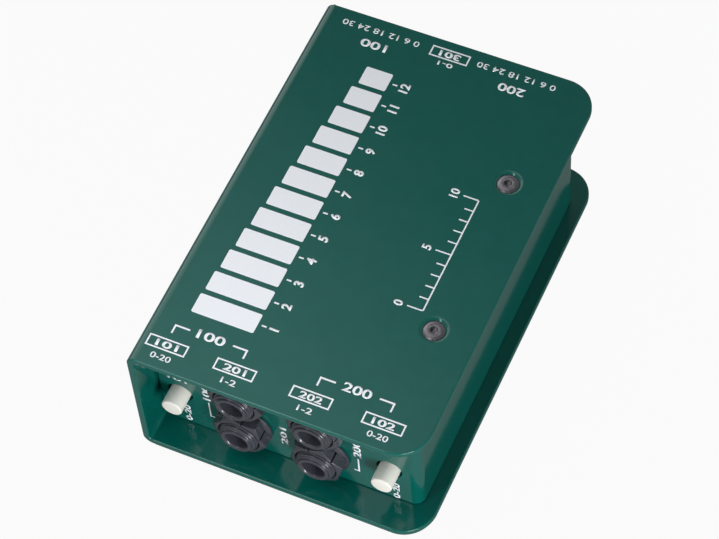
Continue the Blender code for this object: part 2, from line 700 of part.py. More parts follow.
def make_transformer(side, across):
    bm = bmesh.new()
    profile = [
        (0, 0),
        (TRANSFORMER_RADIUS, 0),
        (TRANSFORMER_RADIUS, TRANSFORMER_HEIGHT - TRANSFORMER_EDGE),
        (TRANSFORMER_RADIUS - TRANSFORMER_EDGE, TRANSFORMER_HEIGHT),
        (0, TRANSFORMER_HEIGHT),
    ]
    add_turned(bm, Matrix.Identity(4), profile)
    at = (PATTERN_X + across * TRANSFORMER_SPACING / 2, TRANSFORMER_Y, MAIN_BOARD_TOP + SEAT_GAP)
    solid(f"{side}_transformer_can", bm, "transformer_can", placed(at))


# ---------------------------------------------------------------- Push buttons
def make_switch(name, matrix):
    bm = bmesh.new()
    half_x, half_y = SWITCH_WIDTH / 2, SWITCH_HEIGHT / 2
    front = -SWITCH_SETBACK
    low = (-half_x, -half_y, front - SWITCH_LENGTH)
    add_box(bm, Matrix.Identity(4), low, (half_x, half_y, front))
    body = solid(f"{name}_switch_body", bm, "black_plastic", matrix)
    bm = bmesh.new()
    half = STEM_WIDTH / 2 + STEM_GAP
    deep = front - STEM_IN_SWITCH - BUTTON_TRAVEL - 2 * STEM_GAP
    add_box(bm, Matrix.Identity(4), (-half, -half, deep), (half, half, front + CUT_THROUGH))
    boolean(body, "DIFFERENCE", helper(f"{name}_switch_bore", bm, matrix))


def make_button(name, matrix):
    """The stem and its cap. Both hang from an empty on the line that they slide along."""
    slide = pivot(f"{name}_button_slide", matrix)
    cap_back = CAP_REACH - CAP_LENGTH
    socket_end = cap_back + CAP_SOCKET_DEPTH
    bm = bmesh.new()
    half = STEM_WIDTH / 2
    low = (-half, -half, -SWITCH_SETBACK - STEM_IN_SWITCH)
    add_box(bm, Matrix.Identity(4), low, (half, half, socket_end - SEAT_GAP))
    solid(f"{name}_button_stem", bm, "black_plastic", matrix, slide)
    bm = bmesh.new()
    profile = [
        (0, cap_back),
        (CAP_RADIUS, cap_back),
        (CAP_RADIUS, CAP_REACH - CAP_EDGE),
        (CAP_RADIUS - CAP_EDGE, CAP_REACH),
        (0, CAP_REACH),
    ]
    add_turned(bm, Matrix.Identity(4), profile)
    cap = solid(f"{name}_button_cap", bm, "cream_plastic", matrix, slide)
    bm = bmesh.new()
    half = STEM_WIDTH / 2 + STEM_GAP
    low = (-half, -half, cap_back - CUT_THROUGH)
    add_box(bm, Matrix.Identity(4), low, (half, half, socket_end))
    socket = helper(f"{name}_cap_socket", bm, matrix)
    socket.parent = slide
    socket.matrix_parent_inverse = slide.matrix_world.inverted()
    boolean(cap, "DIFFERENCE", socket)


def spring_points():
    """The centre line of the return spring, between the switch and the cap."""
    low = -SWITCH_SETBACK + SEAT_GAP + SPRING_WIRE / 2
    high = CAP_REACH - CAP_LENGTH - SEAT_GAP - SPRING_WIRE / 2
    count = SPRING_TURNS * 8
    points = []
    for step in range(count + 1):
        angle = 2 * math.pi * SPRING_TURNS * step / count
        height = low + (high - low) * step / count
        points.append(Vector((SPRING_RADIUS * math.cos(angle), SPRING_RADIUS * math.sin(angle), height)))
    return points


def least_gap(points, turn):
    """The smallest distance between turns, surface to surface."""
    gaps = [
        (first - second).length - SPRING_WIRE
        for index, first in enumerate(points)
        for second in points[index + turn // 2 :]
    ]
    return min(gaps)


def make_spring(name, matrix):
    curve = bpy.data.curves.new(f"{name}_return_spring", "CURVE")
    curve.dimensions = "3D"
    curve.bevel_depth = SPRING_WIRE / 2
    curve.bevel_resolution = 1
    curve.use_fill_caps = True
    points = spring_points()
    spline = curve.splines.new("POLY")
    spline.points.add(len(points) - 1)
    for place, point in zip(spline.points, points):
        place.co = (*point, 1)
    curve.materials.append(material("zinc_steel"))
    spring = bpy.data.objects.new(curve.name, curve)
    bpy.context.scene.collection.objects.link(spring)
    spring.matrix_world = matrix
    print(f"{name} spring: least gap to itself {least_gap(points, 8) * 1000:.2f} mm")


# ---------------------------------------------------------------- Three-pin connectors
def make_xlr_shell(side, matrix):
    bm = bmesh.new()
    outline = rounded_rectangle(XLR_FLANGE_WIDTH, XLR_FLANGE_HEIGHT, XLR_FLANGE_CORNER)
    face = SEAT_GAP + XLR_FLANGE_THICKNESS
    add_prism(bm, Matrix.Identity(4), outline, SEAT_GAP, face)
    shell = solid(f"{side}_xlr_shell", bm, "black_metal", matrix)
    bm = bmesh.new()
    middle = SEAT_GAP + XLR_FLANGE_THICKNESS / 2
    cylinder(bm, Matrix.Identity(4), XLR_BARREL_RADIUS, -XLR_BARREL_LENGTH, middle)
    boolean(shell, "UNION", helper(f"{side}_xlr_barrel", bm, matrix))
    bm = bmesh.new()
    past = XLR_BARREL_LENGTH + CUT_THROUGH
    cylinder(bm, Matrix.Identity(4), XLR_CUP_RADIUS, -past, face + CUT_THROUGH)
    for _, offset in xlr_screw_offsets():
        screw = Matrix.Translation(offset)
        cylinder(bm, screw, XLR_SCREW_RADIUS + HOLE_GAP, -CUT_THROUGH, face + CUT_THROUGH, COARSE)
    boolean(shell, "DIFFERENCE", helper(f"{side}_xlr_bores", bm, matrix))


def make_xlr_insert(side, matrix):
    bm = bmesh.new()
    radius = XLR_CUP_RADIUS - SEAT_GAP
    cylinder(bm, Matrix.Identity(4), radius, XLR_INSERT_BACK, XLR_FLOOR)
    insert = solid(f"{side}_xlr_insert", bm, "black_plastic", matrix)
    bm = bmesh.new()
    for _, offset in xlr_pin_offsets():
        hole = Matrix.Translation(offset)
        low, high = XLR_INSERT_BACK - CUT_THROUGH, XLR_FLOOR + CUT_THROUGH
        cylinder(bm, hole, XLR_PIN_RADIUS + HOLE_GAP, low, high, COARSE)
    boolean(insert, "DIFFERENCE", helper(f"{side}_xlr_pin_holes", bm, matrix))


def make_xlr_pin(name, matrix):
    bm = bmesh.new()
    tip = SEAT_GAP + XLR_FLANGE_THICKNESS - XLR_PIN_RECESS
    step = XLR_INSERT_BACK + XLR_TAIL_START
    tail_end = -(REAR_BOARD_DEPTH + BOARD_THICKNESS + LEG_REACH)
    profile = [
        (0, tail_end),
        (XLR_TAIL_RADIUS, tail_end),
        (XLR_TAIL_RADIUS, step),
        (XLR_PIN_RADIUS, step),
        (XLR_PIN_RADIUS, tip - XLR_PIN_RADIUS / 2),
        (XLR_PIN_RADIUS / 2, tip),
        (0, tip),
    ]
    add_turned(bm, Matrix.Identity(4), profile, COARSE)
    solid(name, bm, "nickel", matrix)


def make_xlr_screw(name, matrix):
    bm = bmesh.new()
    seat = 2 * SEAT_GAP + XLR_FLANGE_THICKNESS
    top = seat + XLR_SCREW_HEAD_HEIGHT
    tip = -(CHASSIS_SHEET + XLR_SCREW_TIP_REACH)
    profile = [
        (0, tip),
        (XLR_SCREW_RADIUS, tip),
        (XLR_SCREW_RADIUS, seat),
        (XLR_SCREW_HEAD_RADIUS, seat),
        (XLR_SCREW_HEAD_RADIUS, top - XLR_SCREW_HEAD_HEIGHT / 2),
        (XLR_SCREW_HEAD_RADIUS / 2, top),
        (0, top),
    ]
    add_turned(bm, Matrix.Identity(4), profile, COARSE)
    solid(name, bm, "black_screw", matrix)


# ---------------------------------------------------------------- Assembly
def build():
    clear_scene()
    make_cover()
    make_base_pad()
    make_chassis()
    for name, matrix in screw_places():
        make_cover_screw(name, matrix)
        make_clinch_nut(name, matrix)
    for name, matrix in jack_places():
        make_jack_housing(name, matrix)
        make_jack_nut(name, matrix)
        make_jack_contact(f"{name}_sleeve_contact", matrix, SLEEVE_CONTACT_DEPTH, 1)
        make_jack_contact(f"{name}_tip_contact", matrix, TIP_CONTACT_DEPTH, -1)
    make_main_board()
    make_rear_board()
    make_header()
    for side, across in SIDES.items():
        make_transformer(side, across)
    for name, matrix in button_places():
        make_switch(name, matrix)
        make_button(name, matrix)
        make_spring(name, matrix)
    for side, matrix in xlr_places():
        make_xlr_shell(side, matrix)
        make_xlr_insert(side, matrix)
        for number, offset in xlr_pin_offsets():
            make_xlr_pin(f"{side}_xlr_pin_{number}", matrix @ Matrix.Translation(offset))
        for row, offset in xlr_screw_offsets():
            make_xlr_screw(f"{side}_xlr_screw_{row}", matrix @ Matrix.Translation(offset))


build()
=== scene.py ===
"""Looks of the two-channel direct injection box: fine meshes, finishes, print, light and camera.

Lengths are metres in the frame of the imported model. The front faces -Y, the spine is at -X, the
open end at +X, and the box stands on z = 0.
"""

import json
import math

import bmesh
import bpy
from mathutils import Euler, Matrix, Vector


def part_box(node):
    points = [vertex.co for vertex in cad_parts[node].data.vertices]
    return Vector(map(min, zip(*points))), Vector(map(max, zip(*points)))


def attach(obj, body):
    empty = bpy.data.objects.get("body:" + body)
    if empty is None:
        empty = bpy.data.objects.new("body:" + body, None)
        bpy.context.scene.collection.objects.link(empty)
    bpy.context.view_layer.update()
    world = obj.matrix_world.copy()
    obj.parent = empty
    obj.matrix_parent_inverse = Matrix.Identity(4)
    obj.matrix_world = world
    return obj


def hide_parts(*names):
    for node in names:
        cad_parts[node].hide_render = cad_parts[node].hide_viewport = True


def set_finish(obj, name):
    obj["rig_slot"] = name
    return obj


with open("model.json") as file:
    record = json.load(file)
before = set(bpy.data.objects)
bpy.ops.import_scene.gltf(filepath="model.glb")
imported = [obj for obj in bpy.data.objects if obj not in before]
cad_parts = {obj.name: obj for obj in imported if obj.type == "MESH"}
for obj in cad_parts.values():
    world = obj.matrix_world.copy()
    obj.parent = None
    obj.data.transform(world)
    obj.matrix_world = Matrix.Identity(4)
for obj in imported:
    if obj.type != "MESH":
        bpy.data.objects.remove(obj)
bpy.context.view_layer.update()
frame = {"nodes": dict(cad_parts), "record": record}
NODES = frame["nodes"]
BODY = "chassis"

# ---------------------------------------------------------------- Sheet metal
COVER_LOW, COVER_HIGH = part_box("outer_cover")
CHASSIS_LOW, CHASSIS_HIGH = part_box("inner_chassis")
PAD_LOW, PAD_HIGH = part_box("base_pad")
COVER_SHEET = 0.0019
COVER_BEND_RADIUS = 0.0030
PLATE_CORNER_RADIUS = 0.0095
CHASSIS_SHEET = 0.0016
CHASSIS_BEND_RADIUS = 0.0030
FLANGE_REACH = 0.0153
FLANGE_END_GAP = 0.0040
FLANGE_STEP = 0.0002
ENAMEL_EDGE = 0.00045  # rounding of the enamelled edges
HOLE_EDGE = 0.00015
FRONT_Y, REAR_Y = CHASSIS_LOW.y, CHASSIS_HIGH.y
MIDDLE_Z = (COVER_LOW.z + COVER_HIGH.z) / 2
SPINE_INNER_X = COVER_LOW.x + COVER_SHEET
FACE_GAP = 0.00025  # from a panel's face to what sits on it
PAST = 0.0050  # how far a cutter runs past what it cuts

# ---------------------------------------------------------------- Cover screws
SCREW_HEAD_RADIUS = 0.0033
SCREW_HEAD_HEIGHT = 0.0016
SCREW_THREAD_RADIUS = 0.00175
SCREW_HEAD_DOME = 0.0006  # fall of the head's face towards its rim
SCREW_SOCKET_FLATS = 0.0020
SCREW_SOCKET_DEPTH = 0.0012
COUNTERSINK_GAP = 0.0004

# ---------------------------------------------------------------- Phone jacks
JACK_BORE_RADIUS = 0.0032
JACK_LIP_RADIUS = 0.0036  # inner edge of the flat lip round the mouth
JACK_NOSE_RADIUS = 0.0045
JACK_NECK_RADIUS = 0.0047
JACK_THREAD_RADIUS = 0.0057
JACK_THREAD_PITCH = 0.00075
JACK_THREAD_DEPTH = 0.00040
JACK_THREAD_START = 0.0041  # above the panel, inside the nut
JACK_THREAD_END = 0.0058
JACK_BODY_HALF = Vector((0.0078, 0.0071, 0))
JACK_BODY_LENGTH = 0.0250
JACK_BODY_WALL = 0.0015
BEHIND_PANEL = CHASSIS_SHEET + FACE_GAP
CONTACT_SLOT_HALF = Vector((0, 0.00045, 0.00115))
SLEEVE_CONTACT_DEPTH = 0.0060
TIP_CONTACT_DEPTH = 0.0210
NUT_FLATS = 0.0140
NUT_HEIGHT = 0.0046
NUT_BORE_RADIUS = 0.0059
NUT_FLANGE_RADIUS = 0.0080
NUT_FLANGE_LOW = 0.0006  # height of the flange's straight rim
NUT_FLANGE_HIGH = 0.0013
NUT_SLIT_WIDTH = 0.0005
NUT_SLIT_DEPTH = 0.0007
NUT_TURNS = {  # one flat's direction from +X towards +Z, in degrees, as in part.py
    "upper_left": 22,
    "upper_right": 8,
    "lower_left": 20,
    "lower_right": 45,
}

# ---------------------------------------------------------------- Push buttons
CAP_EDGE = 0.00045
CAP_SOCKET_HALF = 0.0016
CAP_SOCKET_DEPTH = 0.0045

# ---------------------------------------------------------------- Three-pin connectors
XLR_FLANGE_CORNER = 0.0030
XLR_FLANGE_THICKNESS = 0.0020
XLR_CUP_RADIUS = 0.00805
XLR_RING_RADIUS = 0.0098  # raised ring round the cup
XLR_RING_HEIGHT = 0.0005
XLR_BARREL_RADIUS = 0.0112
XLR_BARREL_LENGTH = 0.0145
XLR_NOTCH_HALF = 0.0022
XLR_NOTCH_DEPTH = 0.0011
XLR_NOTCH_LENGTH = 0.0065
XLR_SCREW_HOLE = 0.0016
XLR_SCREW_RADIUS = 0.0014
XLR_SCREW_HEAD_RADIUS = 0.0026
XLR_SCREW_HEAD_HEIGHT = 0.0015
XLR_RECESS_WIDTH = 0.0007
XLR_RECESS_REACH = 0.0015
XLR_RECESS_DEPTH = 0.0009
XLR_PIN_RADIUS = 0.0012
XLR_TAIL_RADIUS = 0.0005

# ---------------------------------------------------------------- Facets
TURN_STEPS = 72
BEND_STEPS = 14
CORNER_STEPS = 28
FILLET_STEPS = 5

FACING_FRONT = Euler((math.pi / 2, 0, 0))
FACING_REAR = Euler((math.pi / 2, 0, math.pi))
UPRIGHT = Euler((0, 0, 0))
INVERTED = Euler((math.pi, 0, 0))
FLIPPED = Matrix.Rotation(math.pi, 4, "Z")
IDENTITY = Matrix.Identity(4)


# ---------------------------------------------------------------- Finishes
class Finish:
    """One procedural material on object coordinates, built up from noise layers."""

    def __init__(self, name, metallic=0.0, specular=0.5, coat=0.0):
        self.material = bpy.data.materials.new(name)
        self.material.use_nodes = True
        self.tree = self.material.node_tree
        self.shader = self.tree.nodes["Principled BSDF"]
        self.shader.inputs["Metallic"].default_value = metallic
        self.shader.inputs["Specular IOR Level"].default_value = specular
        self.shader.inputs["Coat Weight"].default_value = coat
        self.coordinates = self.tree.nodes.new("ShaderNodeTexCoord").outputs["Object"]
        self.height = None

    def link(self, source, target):
        self.tree.links.new(source, target)

    def noise(self, size, detail=2.0, stretch=(1, 1, 1)):
        """Noise between 0 and 1 with features of about this size in metres."""
        mapping = self.tree.nodes.new("ShaderNodeMapping")
        mapping.inputs["Scale"].default_value = stretch
        self.link(self.coordinates, mapping.inputs["Vector"])
        node = self.tree.nodes.new("ShaderNodeTexNoise")
        node.inputs["Scale"].default_value = 1 / size
        node.inputs["Detail"].default_value = detail
        self.link(mapping.outputs["Vector"], node.inputs["Vector"])
        return node.outputs["Fac"]

    def spread(self, value, low, high, start=0.3, end=0.7):
        """A value between start and end, spread over low to high."""
        node = self.tree.nodes.new("ShaderNodeMapRange")
        node.inputs["From Min"].default_value = start
        node.inputs["From Max"].default_value = end
        node.inputs["To Min"].default_value = low
        node.inputs["To Max"].default_value = high
        self.link(value, node.inputs["Value"])
        return node.outputs["Result"]

    def colours(self, share, first, second):
        node = self.tree.nodes.new("ShaderNodeMix")
        node.data_type = "RGBA"
        node.inputs["A"].default_value = (*first, 1)
        node.inputs["B"].default_value = (*second, 1)
        self.link(share, node.inputs["Factor"])
        return node.outputs["Result"]

    def colour(self, share, first, second):
        self.link(self.colours(share, first, second), self.shader.inputs["Base Color"])
        self.material.diffuse_color = (*first, 1)
        return self

    def roughness(self, share, low, high):
        self.link(self.spread(share, low, high), self.shader.inputs["Roughness"])
        return self

    def bump(self, height, distance, strength=1.0):
        """Relief of the given height in metres, laid over what was there before."""
        node = self.tree.nodes.new("ShaderNodeBump")
        node.inputs["Distance"].default_value = distance
        node.inputs["Strength"].default_value = strength
        self.link(height, node.inputs["Height"])
        if self.height:
            self.link(self.height, node.inputs["Normal"])
        self.height = node.outputs["Normal"]
        self.link(self.height, self.shader.inputs["Normal"])
        return self


def enamel():
    """Gloss powder coat: slow waves of the sheet under a fine orange peel."""
    made = Finish("green_enamel", specular=0.5)
    made.colour(made.spread(made.noise(0.004), 0, 1), ENAMEL_GREEN, ENAMEL_GREEN_DEEP)
    made.shader.inputs["IOR"].default_value = 1.65
    made.roughness(made.noise(0.0022, 3), 0.09, 0.13)
    made.bump(made.noise(0.016, 1), 0.00006)
    made.bump(made.noise(0.0011, 1), 0.0000012)
    return made.material


def ink():
    made = Finish("white_ink", specular=0.35)
    made.colour(made.spread(made.noise(0.0006), 0, 1), (0.90, 0.93, 0.98), (0.87, 0.91, 0.96))
    made.roughness(made.noise(0.0008), 0.34, 0.46)
    made.bump(made.noise(0.0003, 3), 0.000004)
    return made.material


def moulded(name, first, second, rough, grain=0.00035, relief=0.000006, specular=0.5):
    """Moulded plastic or rubber: cloudy tone, fine grain in gloss and relief."""
    made = Finish(name, specular=specular)
    made.colour(made.spread(made.noise(0.003, 3), 0, 1), first, second)
    made.roughness(made.noise(grain, 3), *rough)
    made.bump(made.noise(grain, 2), relief)
    made.bump(made.noise(0.0025, 1), relief)
    return made.material


def metal(name, first, second, rough, relief=0.000003, stretch=(1, 1, 1), metallic=1.0):
    """Metal or plating: worn patches and fine drawn lines along the squeezed direction."""
    made = Finish(name, metallic=metallic)
    made.colour(made.spread(made.noise(0.0012, 4), 0, 1), first, second)
    made.roughness(made.noise(0.0005, 4, stretch), *rough)
    made.bump(made.noise(0.0002, 3, stretch), relief)
    return made.material


def scratched_screw():
    """Blackened steel with the oxide rubbed off in specks and short strokes."""
    made = Finish("black_screw", metallic=0.85)
    strokes = made.noise(0.0006, 5, (1.0, 0.35, 1.0))
    worn = made.spread(strokes, 0, 1, 0.56, 0.70)
    made.colour(worn, (0.235, 0.228, 0.250), (0.55, 0.55, 0.57))
    made.roughness(made.noise(0.0004, 4), 0.26, 0.44)
    made.bump(strokes, 0.000010)
    return made.material


def circuit_board():
    """Solder mask over broad copper tracks."""
    made = Finish("circuit_board", specular=0.5)
    brick = made.tree.nodes.new("ShaderNodeTexBrick")
    brick.inputs["Scale"].default_value = 180
    brick.inputs["Mortar Size"].default_value = 0.03
    made.link(made.coordinates, brick.inputs["Vector"])
    made.colour(brick.outputs["Fac"], (0.015, 0.110, 0.045), (0.040, 0.200, 0.085))
    made.roughness(made.noise(0.001), 0.28, 0.42)
    made.bump(brick.outputs["Fac"], 0.00003)
    return made.material


ENAMEL_GREEN = (0.0012, 0.1000, 0.0820)
ENAMEL_GREEN_DEEP = (0.0010, 0.0930, 0.0760)

FINISHES = {
    "green_enamel": enamel(),
    "white_ink": ink(),
    "black_plastic": moulded("black_plastic", (0.046, 0.049, 0.062), (0.036, 0.038, 0.050), (0.22, 0.28), 0.0004, 0.0000004, 0.7),
    "cream_plastic": moulded("cream_plastic", (0.80, 0.80, 0.735), (0.76, 0.76, 0.695), (0.34, 0.46)),
    "black_screw": scratched_screw(),
    "zinc_steel": metal("zinc_steel", (0.56, 0.56, 0.54), (0.44, 0.45, 0.46), (0.28, 0.46)),
    "nickel": metal("nickel", (0.72, 0.70, 0.66), (0.62, 0.61, 0.58), (0.16, 0.28)),
    "black_metal": metal("black_metal", (0.030, 0.031, 0.034), (0.022, 0.022, 0.025), (0.34, 0.48), metallic=0.4),
    "circuit_board": circuit_board(),
    "transformer_can": metal("transformer_can", (0.62, 0.62, 0.61), (0.50, 0.50, 0.50), (0.24, 0.40), stretch=(1, 1, 0.1)),
    "base_rubber": moulded("base_rubber", (0.020, 0.020, 0.021), (0.030, 0.030, 0.031), (0.72, 0.90), 0.0007, 0.00006, 0.3),
}


def dress_frame():
    """Every node of the frame takes the finish that its record slot names."""
    for entry in frame["record"]["subparts"]:
        node = NODES[entry["node"]]
        for place in node.material_slots:
            place.material = FINISHES[entry["material_slot"]]


# ---------------------------------------------------------------- Mesh tools
def placed(at, turn=UPRIGHT):
    return Matrix.Translation(Vector(at)) @ turn.to_matrix().to_4x4()


def rounded(corners, steps=FILLET_STEPS):
    """An outline from (x, y, radius) corners, each round one drawn as an arc."""
    outline = []
    for index, (x, y, radius) in enumerate(corners):
        here = Vector((x, y))
        if radius == 0:
            outline.append((x, y))
            continue
        before = (Vector(corners[index - 1][:2]) - here).normalized()
        after = (Vector(corners[(index + 1) % len(corners)][:2]) - here).normalized()
        half = before.angle(after) / 2
        centre = here + (before + after).normalized() * radius / math.sin(half)
        start = here + before * radius / math.tan(half) - centre
        sweep = (here + after * radius / math.tan(half) - centre).angle_signed(start)
        for step in range(steps + 1):
            arm = start.copy()
            arm.rotate(Matrix.Rotation(sweep * step / steps, 2))
            outline.append(tuple(centre + arm))
    return outline


def prism(outline, low, high, matrix=IDENTITY, bm=None):
    """An outline in local XY, extruded from low to high along local Z."""
    bm = bm or bmesh.new()
    base = bm.faces.new([bm.verts.new(matrix @ Vector((x, y, low))) for x, y in outline])
    made = bmesh.ops.extrude_face_region(bm, geom=[base])
    top = [item for item in made["geom"] if isinstance(item, bmesh.types.BMVert)]
    bmesh.ops.translate(bm, verts=top, vec=matrix.to_3x3() @ Vector((0, 0, high - low)))
    return bm


def block(low, high, matrix=IDENTITY, bm=None):
    outline = [(low[0], low[1]), (high[0], low[1]), (high[0], high[1]), (low[0], high[1])]
    return prism(outline, low[2], high[2], matrix, bm)


def turned(profile, steps=TURN_STEPS, matrix=IDENTITY, hollow=False, bm=None):
    """A solid of revolution from (radius, height). A radius may be a function of the angle."""
    bm = bm or bmesh.new()
    rings = []
    for radius, height in profile:
        if radius == 0:
            rings.append([bm.verts.new(matrix @ Vector((0, 0, height)))])
            continue
        verts = []
        for index in range(steps):
            angle = 2 * math.pi * index / steps
            reach = radius(angle) if callable(radius) else radius
            point = Vector((reach * math.cos(angle), reach * math.sin(angle), height))
            verts.append(bm.verts.new(matrix @ point))
        rings.append(verts)
    pairs = list(zip(rings, rings[1:]))
    if hollow:
        pairs.append((rings[-1], rings[0]))
    for lower, upper in pairs:
        for index in range(steps):
            after = (index + 1) % steps
            if len(lower) == 1:
                bm.faces.new((lower[0], upper[after], upper[index]))
            elif len(upper) == 1:
                bm.faces.new((lower[index], lower[after], upper[0]))
            else:
                bm.faces.new((lower[index], lower[after], upper[after], upper[index]))
    if not hollow:
        for end in (rings[0], rings[-1]):
            if len(end) > 1:
                bm.faces.new(end)
    return bm


def mesh_object(name, bm):
    bmesh.ops.recalc_face_normals(bm, faces=bm.faces)
    mesh = bpy.data.meshes.new(name)
    bm.to_mesh(mesh)
    bm.free()
    obj = bpy.data.objects.new(name, mesh)
    bpy.context.scene.collection.objects.link(obj)
    return obj


def settle(obj):
    """Applies the modifiers, so that the mesh is what shows."""
    evaluated = obj.evaluated_get(bpy.context.evaluated_depsgraph_get())
    mesh = bpy.data.meshes.new_from_object(evaluated)
    obj.modifiers.clear()
    obj.data = mesh
    return obj


def combine(obj, operation, bm):
    """Adds, cuts or intersects with another solid, which is then gone."""
    other = mesh_object("cutter", bm)
    modifier = obj.modifiers.new(operation, "BOOLEAN")
    modifier.operation = operation
    modifier.object = other
    settle(obj)
    bpy.data.objects.remove(other)
    return obj


def soften(obj, width, segments=3, angle=30):
    """Rounds the edges that are sharper than the angle."""
    modifier = obj.modifiers.new("edges", "BEVEL")
    modifier.width = width
    modifier.segments = segments
    modifier.limit_method = "ANGLE"
    modifier.angle_limit = math.radians(angle)
    modifier.use_clamp_overlap = False
    return settle(obj)


def shade(obj, angle=35):
    """Smooth faces whose flat parts stay flat."""
    obj.data.shade_smooth()
    obj.data.set_sharp_from_angle(angle=math.radians(angle))
    modifier = obj.modifiers.new("normals", "WEIGHTED_NORMAL")
    modifier.keep_sharp = True
    modifier.weight = 80
    return settle(obj)


def fit(obj, finish, matrix=IDENTITY, body=BODY, stands_for=(), slot=None):
    """Gives a piece its finish, its place and what it stands for in the frame."""
    obj.data.materials.clear()
    obj.data.materials.append(FINISHES[finish])
    obj.matrix_world = matrix
    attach(obj, body)
    if stands_for:
        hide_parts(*stands_for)
    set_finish(obj, slot or finish)
    return obj


def twin(obj, name, matrix, body=BODY, stands_for=()):
    """Another piece of the same shape, finish and slot."""
    copy = bpy.data.objects.new(name, obj.data)
    bpy.context.scene.collection.objects.link(copy)
    copy.matrix_world = matrix
    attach(copy, body)
    if stands_for:
        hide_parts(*stands_for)
    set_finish(copy, obj["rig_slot"])
    return copy


# ---------------------------------------------------------------- Places, read from the frame
def middle(node):
    low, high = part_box(node)
    return (low + high) / 2


def screw_places():
    """Node and the frame on the plate's outer face that points out of the box."""
    for face, turn, z in (("top", UPRIGHT, COVER_HIGH.z), ("bottom", INVERTED, COVER_LOW.z)):
        for end in ("front", "rear"):
            node = f"cover_screw_{face}_{end}"
            at = middle(node)
            yield node, placed((at.x, at.y, z), turn)


def jack_places():
    for row in ("upper", "lower"):
        for side in ("left", "right"):
            at = middle(f"{row}_{side}_jack_nut")
            matrix = placed((at.x, FRONT_Y, at.z), FACING_FRONT)
            yield f"{row}_{side}", matrix if row == "upper" else matrix @ FLIPPED


def button_places():
    for name, y, turn in (
        ("left_pad", FRONT_Y, FACING_FRONT),
        ("right_pad", FRONT_Y, FACING_FRONT),
        ("ground_lift", REAR_Y, FACING_REAR),
    ):
        at = middle(f"{name}_button_cap")
        yield name, placed((at.x, y, at.z), turn)


def connector_places():
    for side in ("left", "right"):
        at = middle(f"{side}_xlr_shell")
        yield side, placed((at.x, REAR_Y, at.z), FACING_REAR)


# ---------------------------------------------------------------- Cover, pad and chassis
def plate_outline(high_x, high_y, left, radius):
    return rounded(
        [(left, -high_y, 0), (high_x, -high_y, radius), (high_x, high_y, radius), (left, high_y, 0)],
        CORNER_STEPS,
    )


def make_cover():
    left, right = COVER_LOW.x, COVER_HIGH.x
    top, bottom = COVER_HIGH.z, COVER_LOW.z
    inner = COVER_BEND_RADIUS - COVER_SHEET
    section = rounded(
        [
            (right, top, 0),
            (left, top, COVER_BEND_RADIUS),
            (left, bottom, COVER_BEND_RADIUS),
            (right, bottom, 0),
            (right, bottom + COVER_SHEET, 0),
            (SPINE_INNER_X, bottom + COVER_SHEET, inner),
            (SPINE_INNER_X, top - COVER_SHEET, inner),
            (right, top - COVER_SHEET, 0),
        ],
        BEND_STEPS,
    )
    along_y = placed((0, 0, 0), Euler((math.pi / 2, 0, 0)))
    cover = mesh_object("cover_enamelled", prism(section, COVER_LOW.y, COVER_HIGH.y, along_y))
    outline = plate_outline(right, COVER_HIGH.y, left - PAST, PLATE_CORNER_RADIUS)
    combine(cover, "INTERSECT", prism(outline, -PAST, top + PAST))
    slope = (SCREW_HEAD_RADIUS - SCREW_THREAD_RADIUS) / SCREW_HEAD_HEIGHT
    rim = SCREW_HEAD_RADIUS + COUNTERSINK_GAP
    hole = SCREW_THREAD_RADIUS + COUNTERSINK_GAP
    profile = [(0, -PAST), (hole, -PAST), (hole, -SCREW_HEAD_HEIGHT), (rim + slope * PAST, PAST), (0, PAST)]
    for _, matrix in screw_places():
        combine(cover, "DIFFERENCE", turned(profile, matrix=matrix))
    soften(cover, ENAMEL_EDGE, 4)
    fit(shade(cover), "green_enamel", stands_for=["outer_cover"])


def make_pad():
    inset = COVER_HIGH.x - PAD_HIGH.x
    outline = plate_outline(PAD_HIGH.x, PAD_HIGH.y, PAD_LOW.x, PLATE_CORNER_RADIUS - inset)
    pad = mesh_object("pad_rubber", prism(outline, PAD_LOW.z, PAD_HIGH.z))
    for node, matrix in screw_places():
        if "bottom" in node:
            radius = SCREW_HEAD_RADIUS + 2 * COUNTERSINK_GAP
            combine(pad, "DIFFERENCE", turned([(0, -PAST), (radius, -PAST), (radius, PAST), (0, PAST)], matrix=matrix))
    soften(pad, 0.0002, 2)
    fit(shade(pad), "base_rubber", stands_for=["base_pad"])


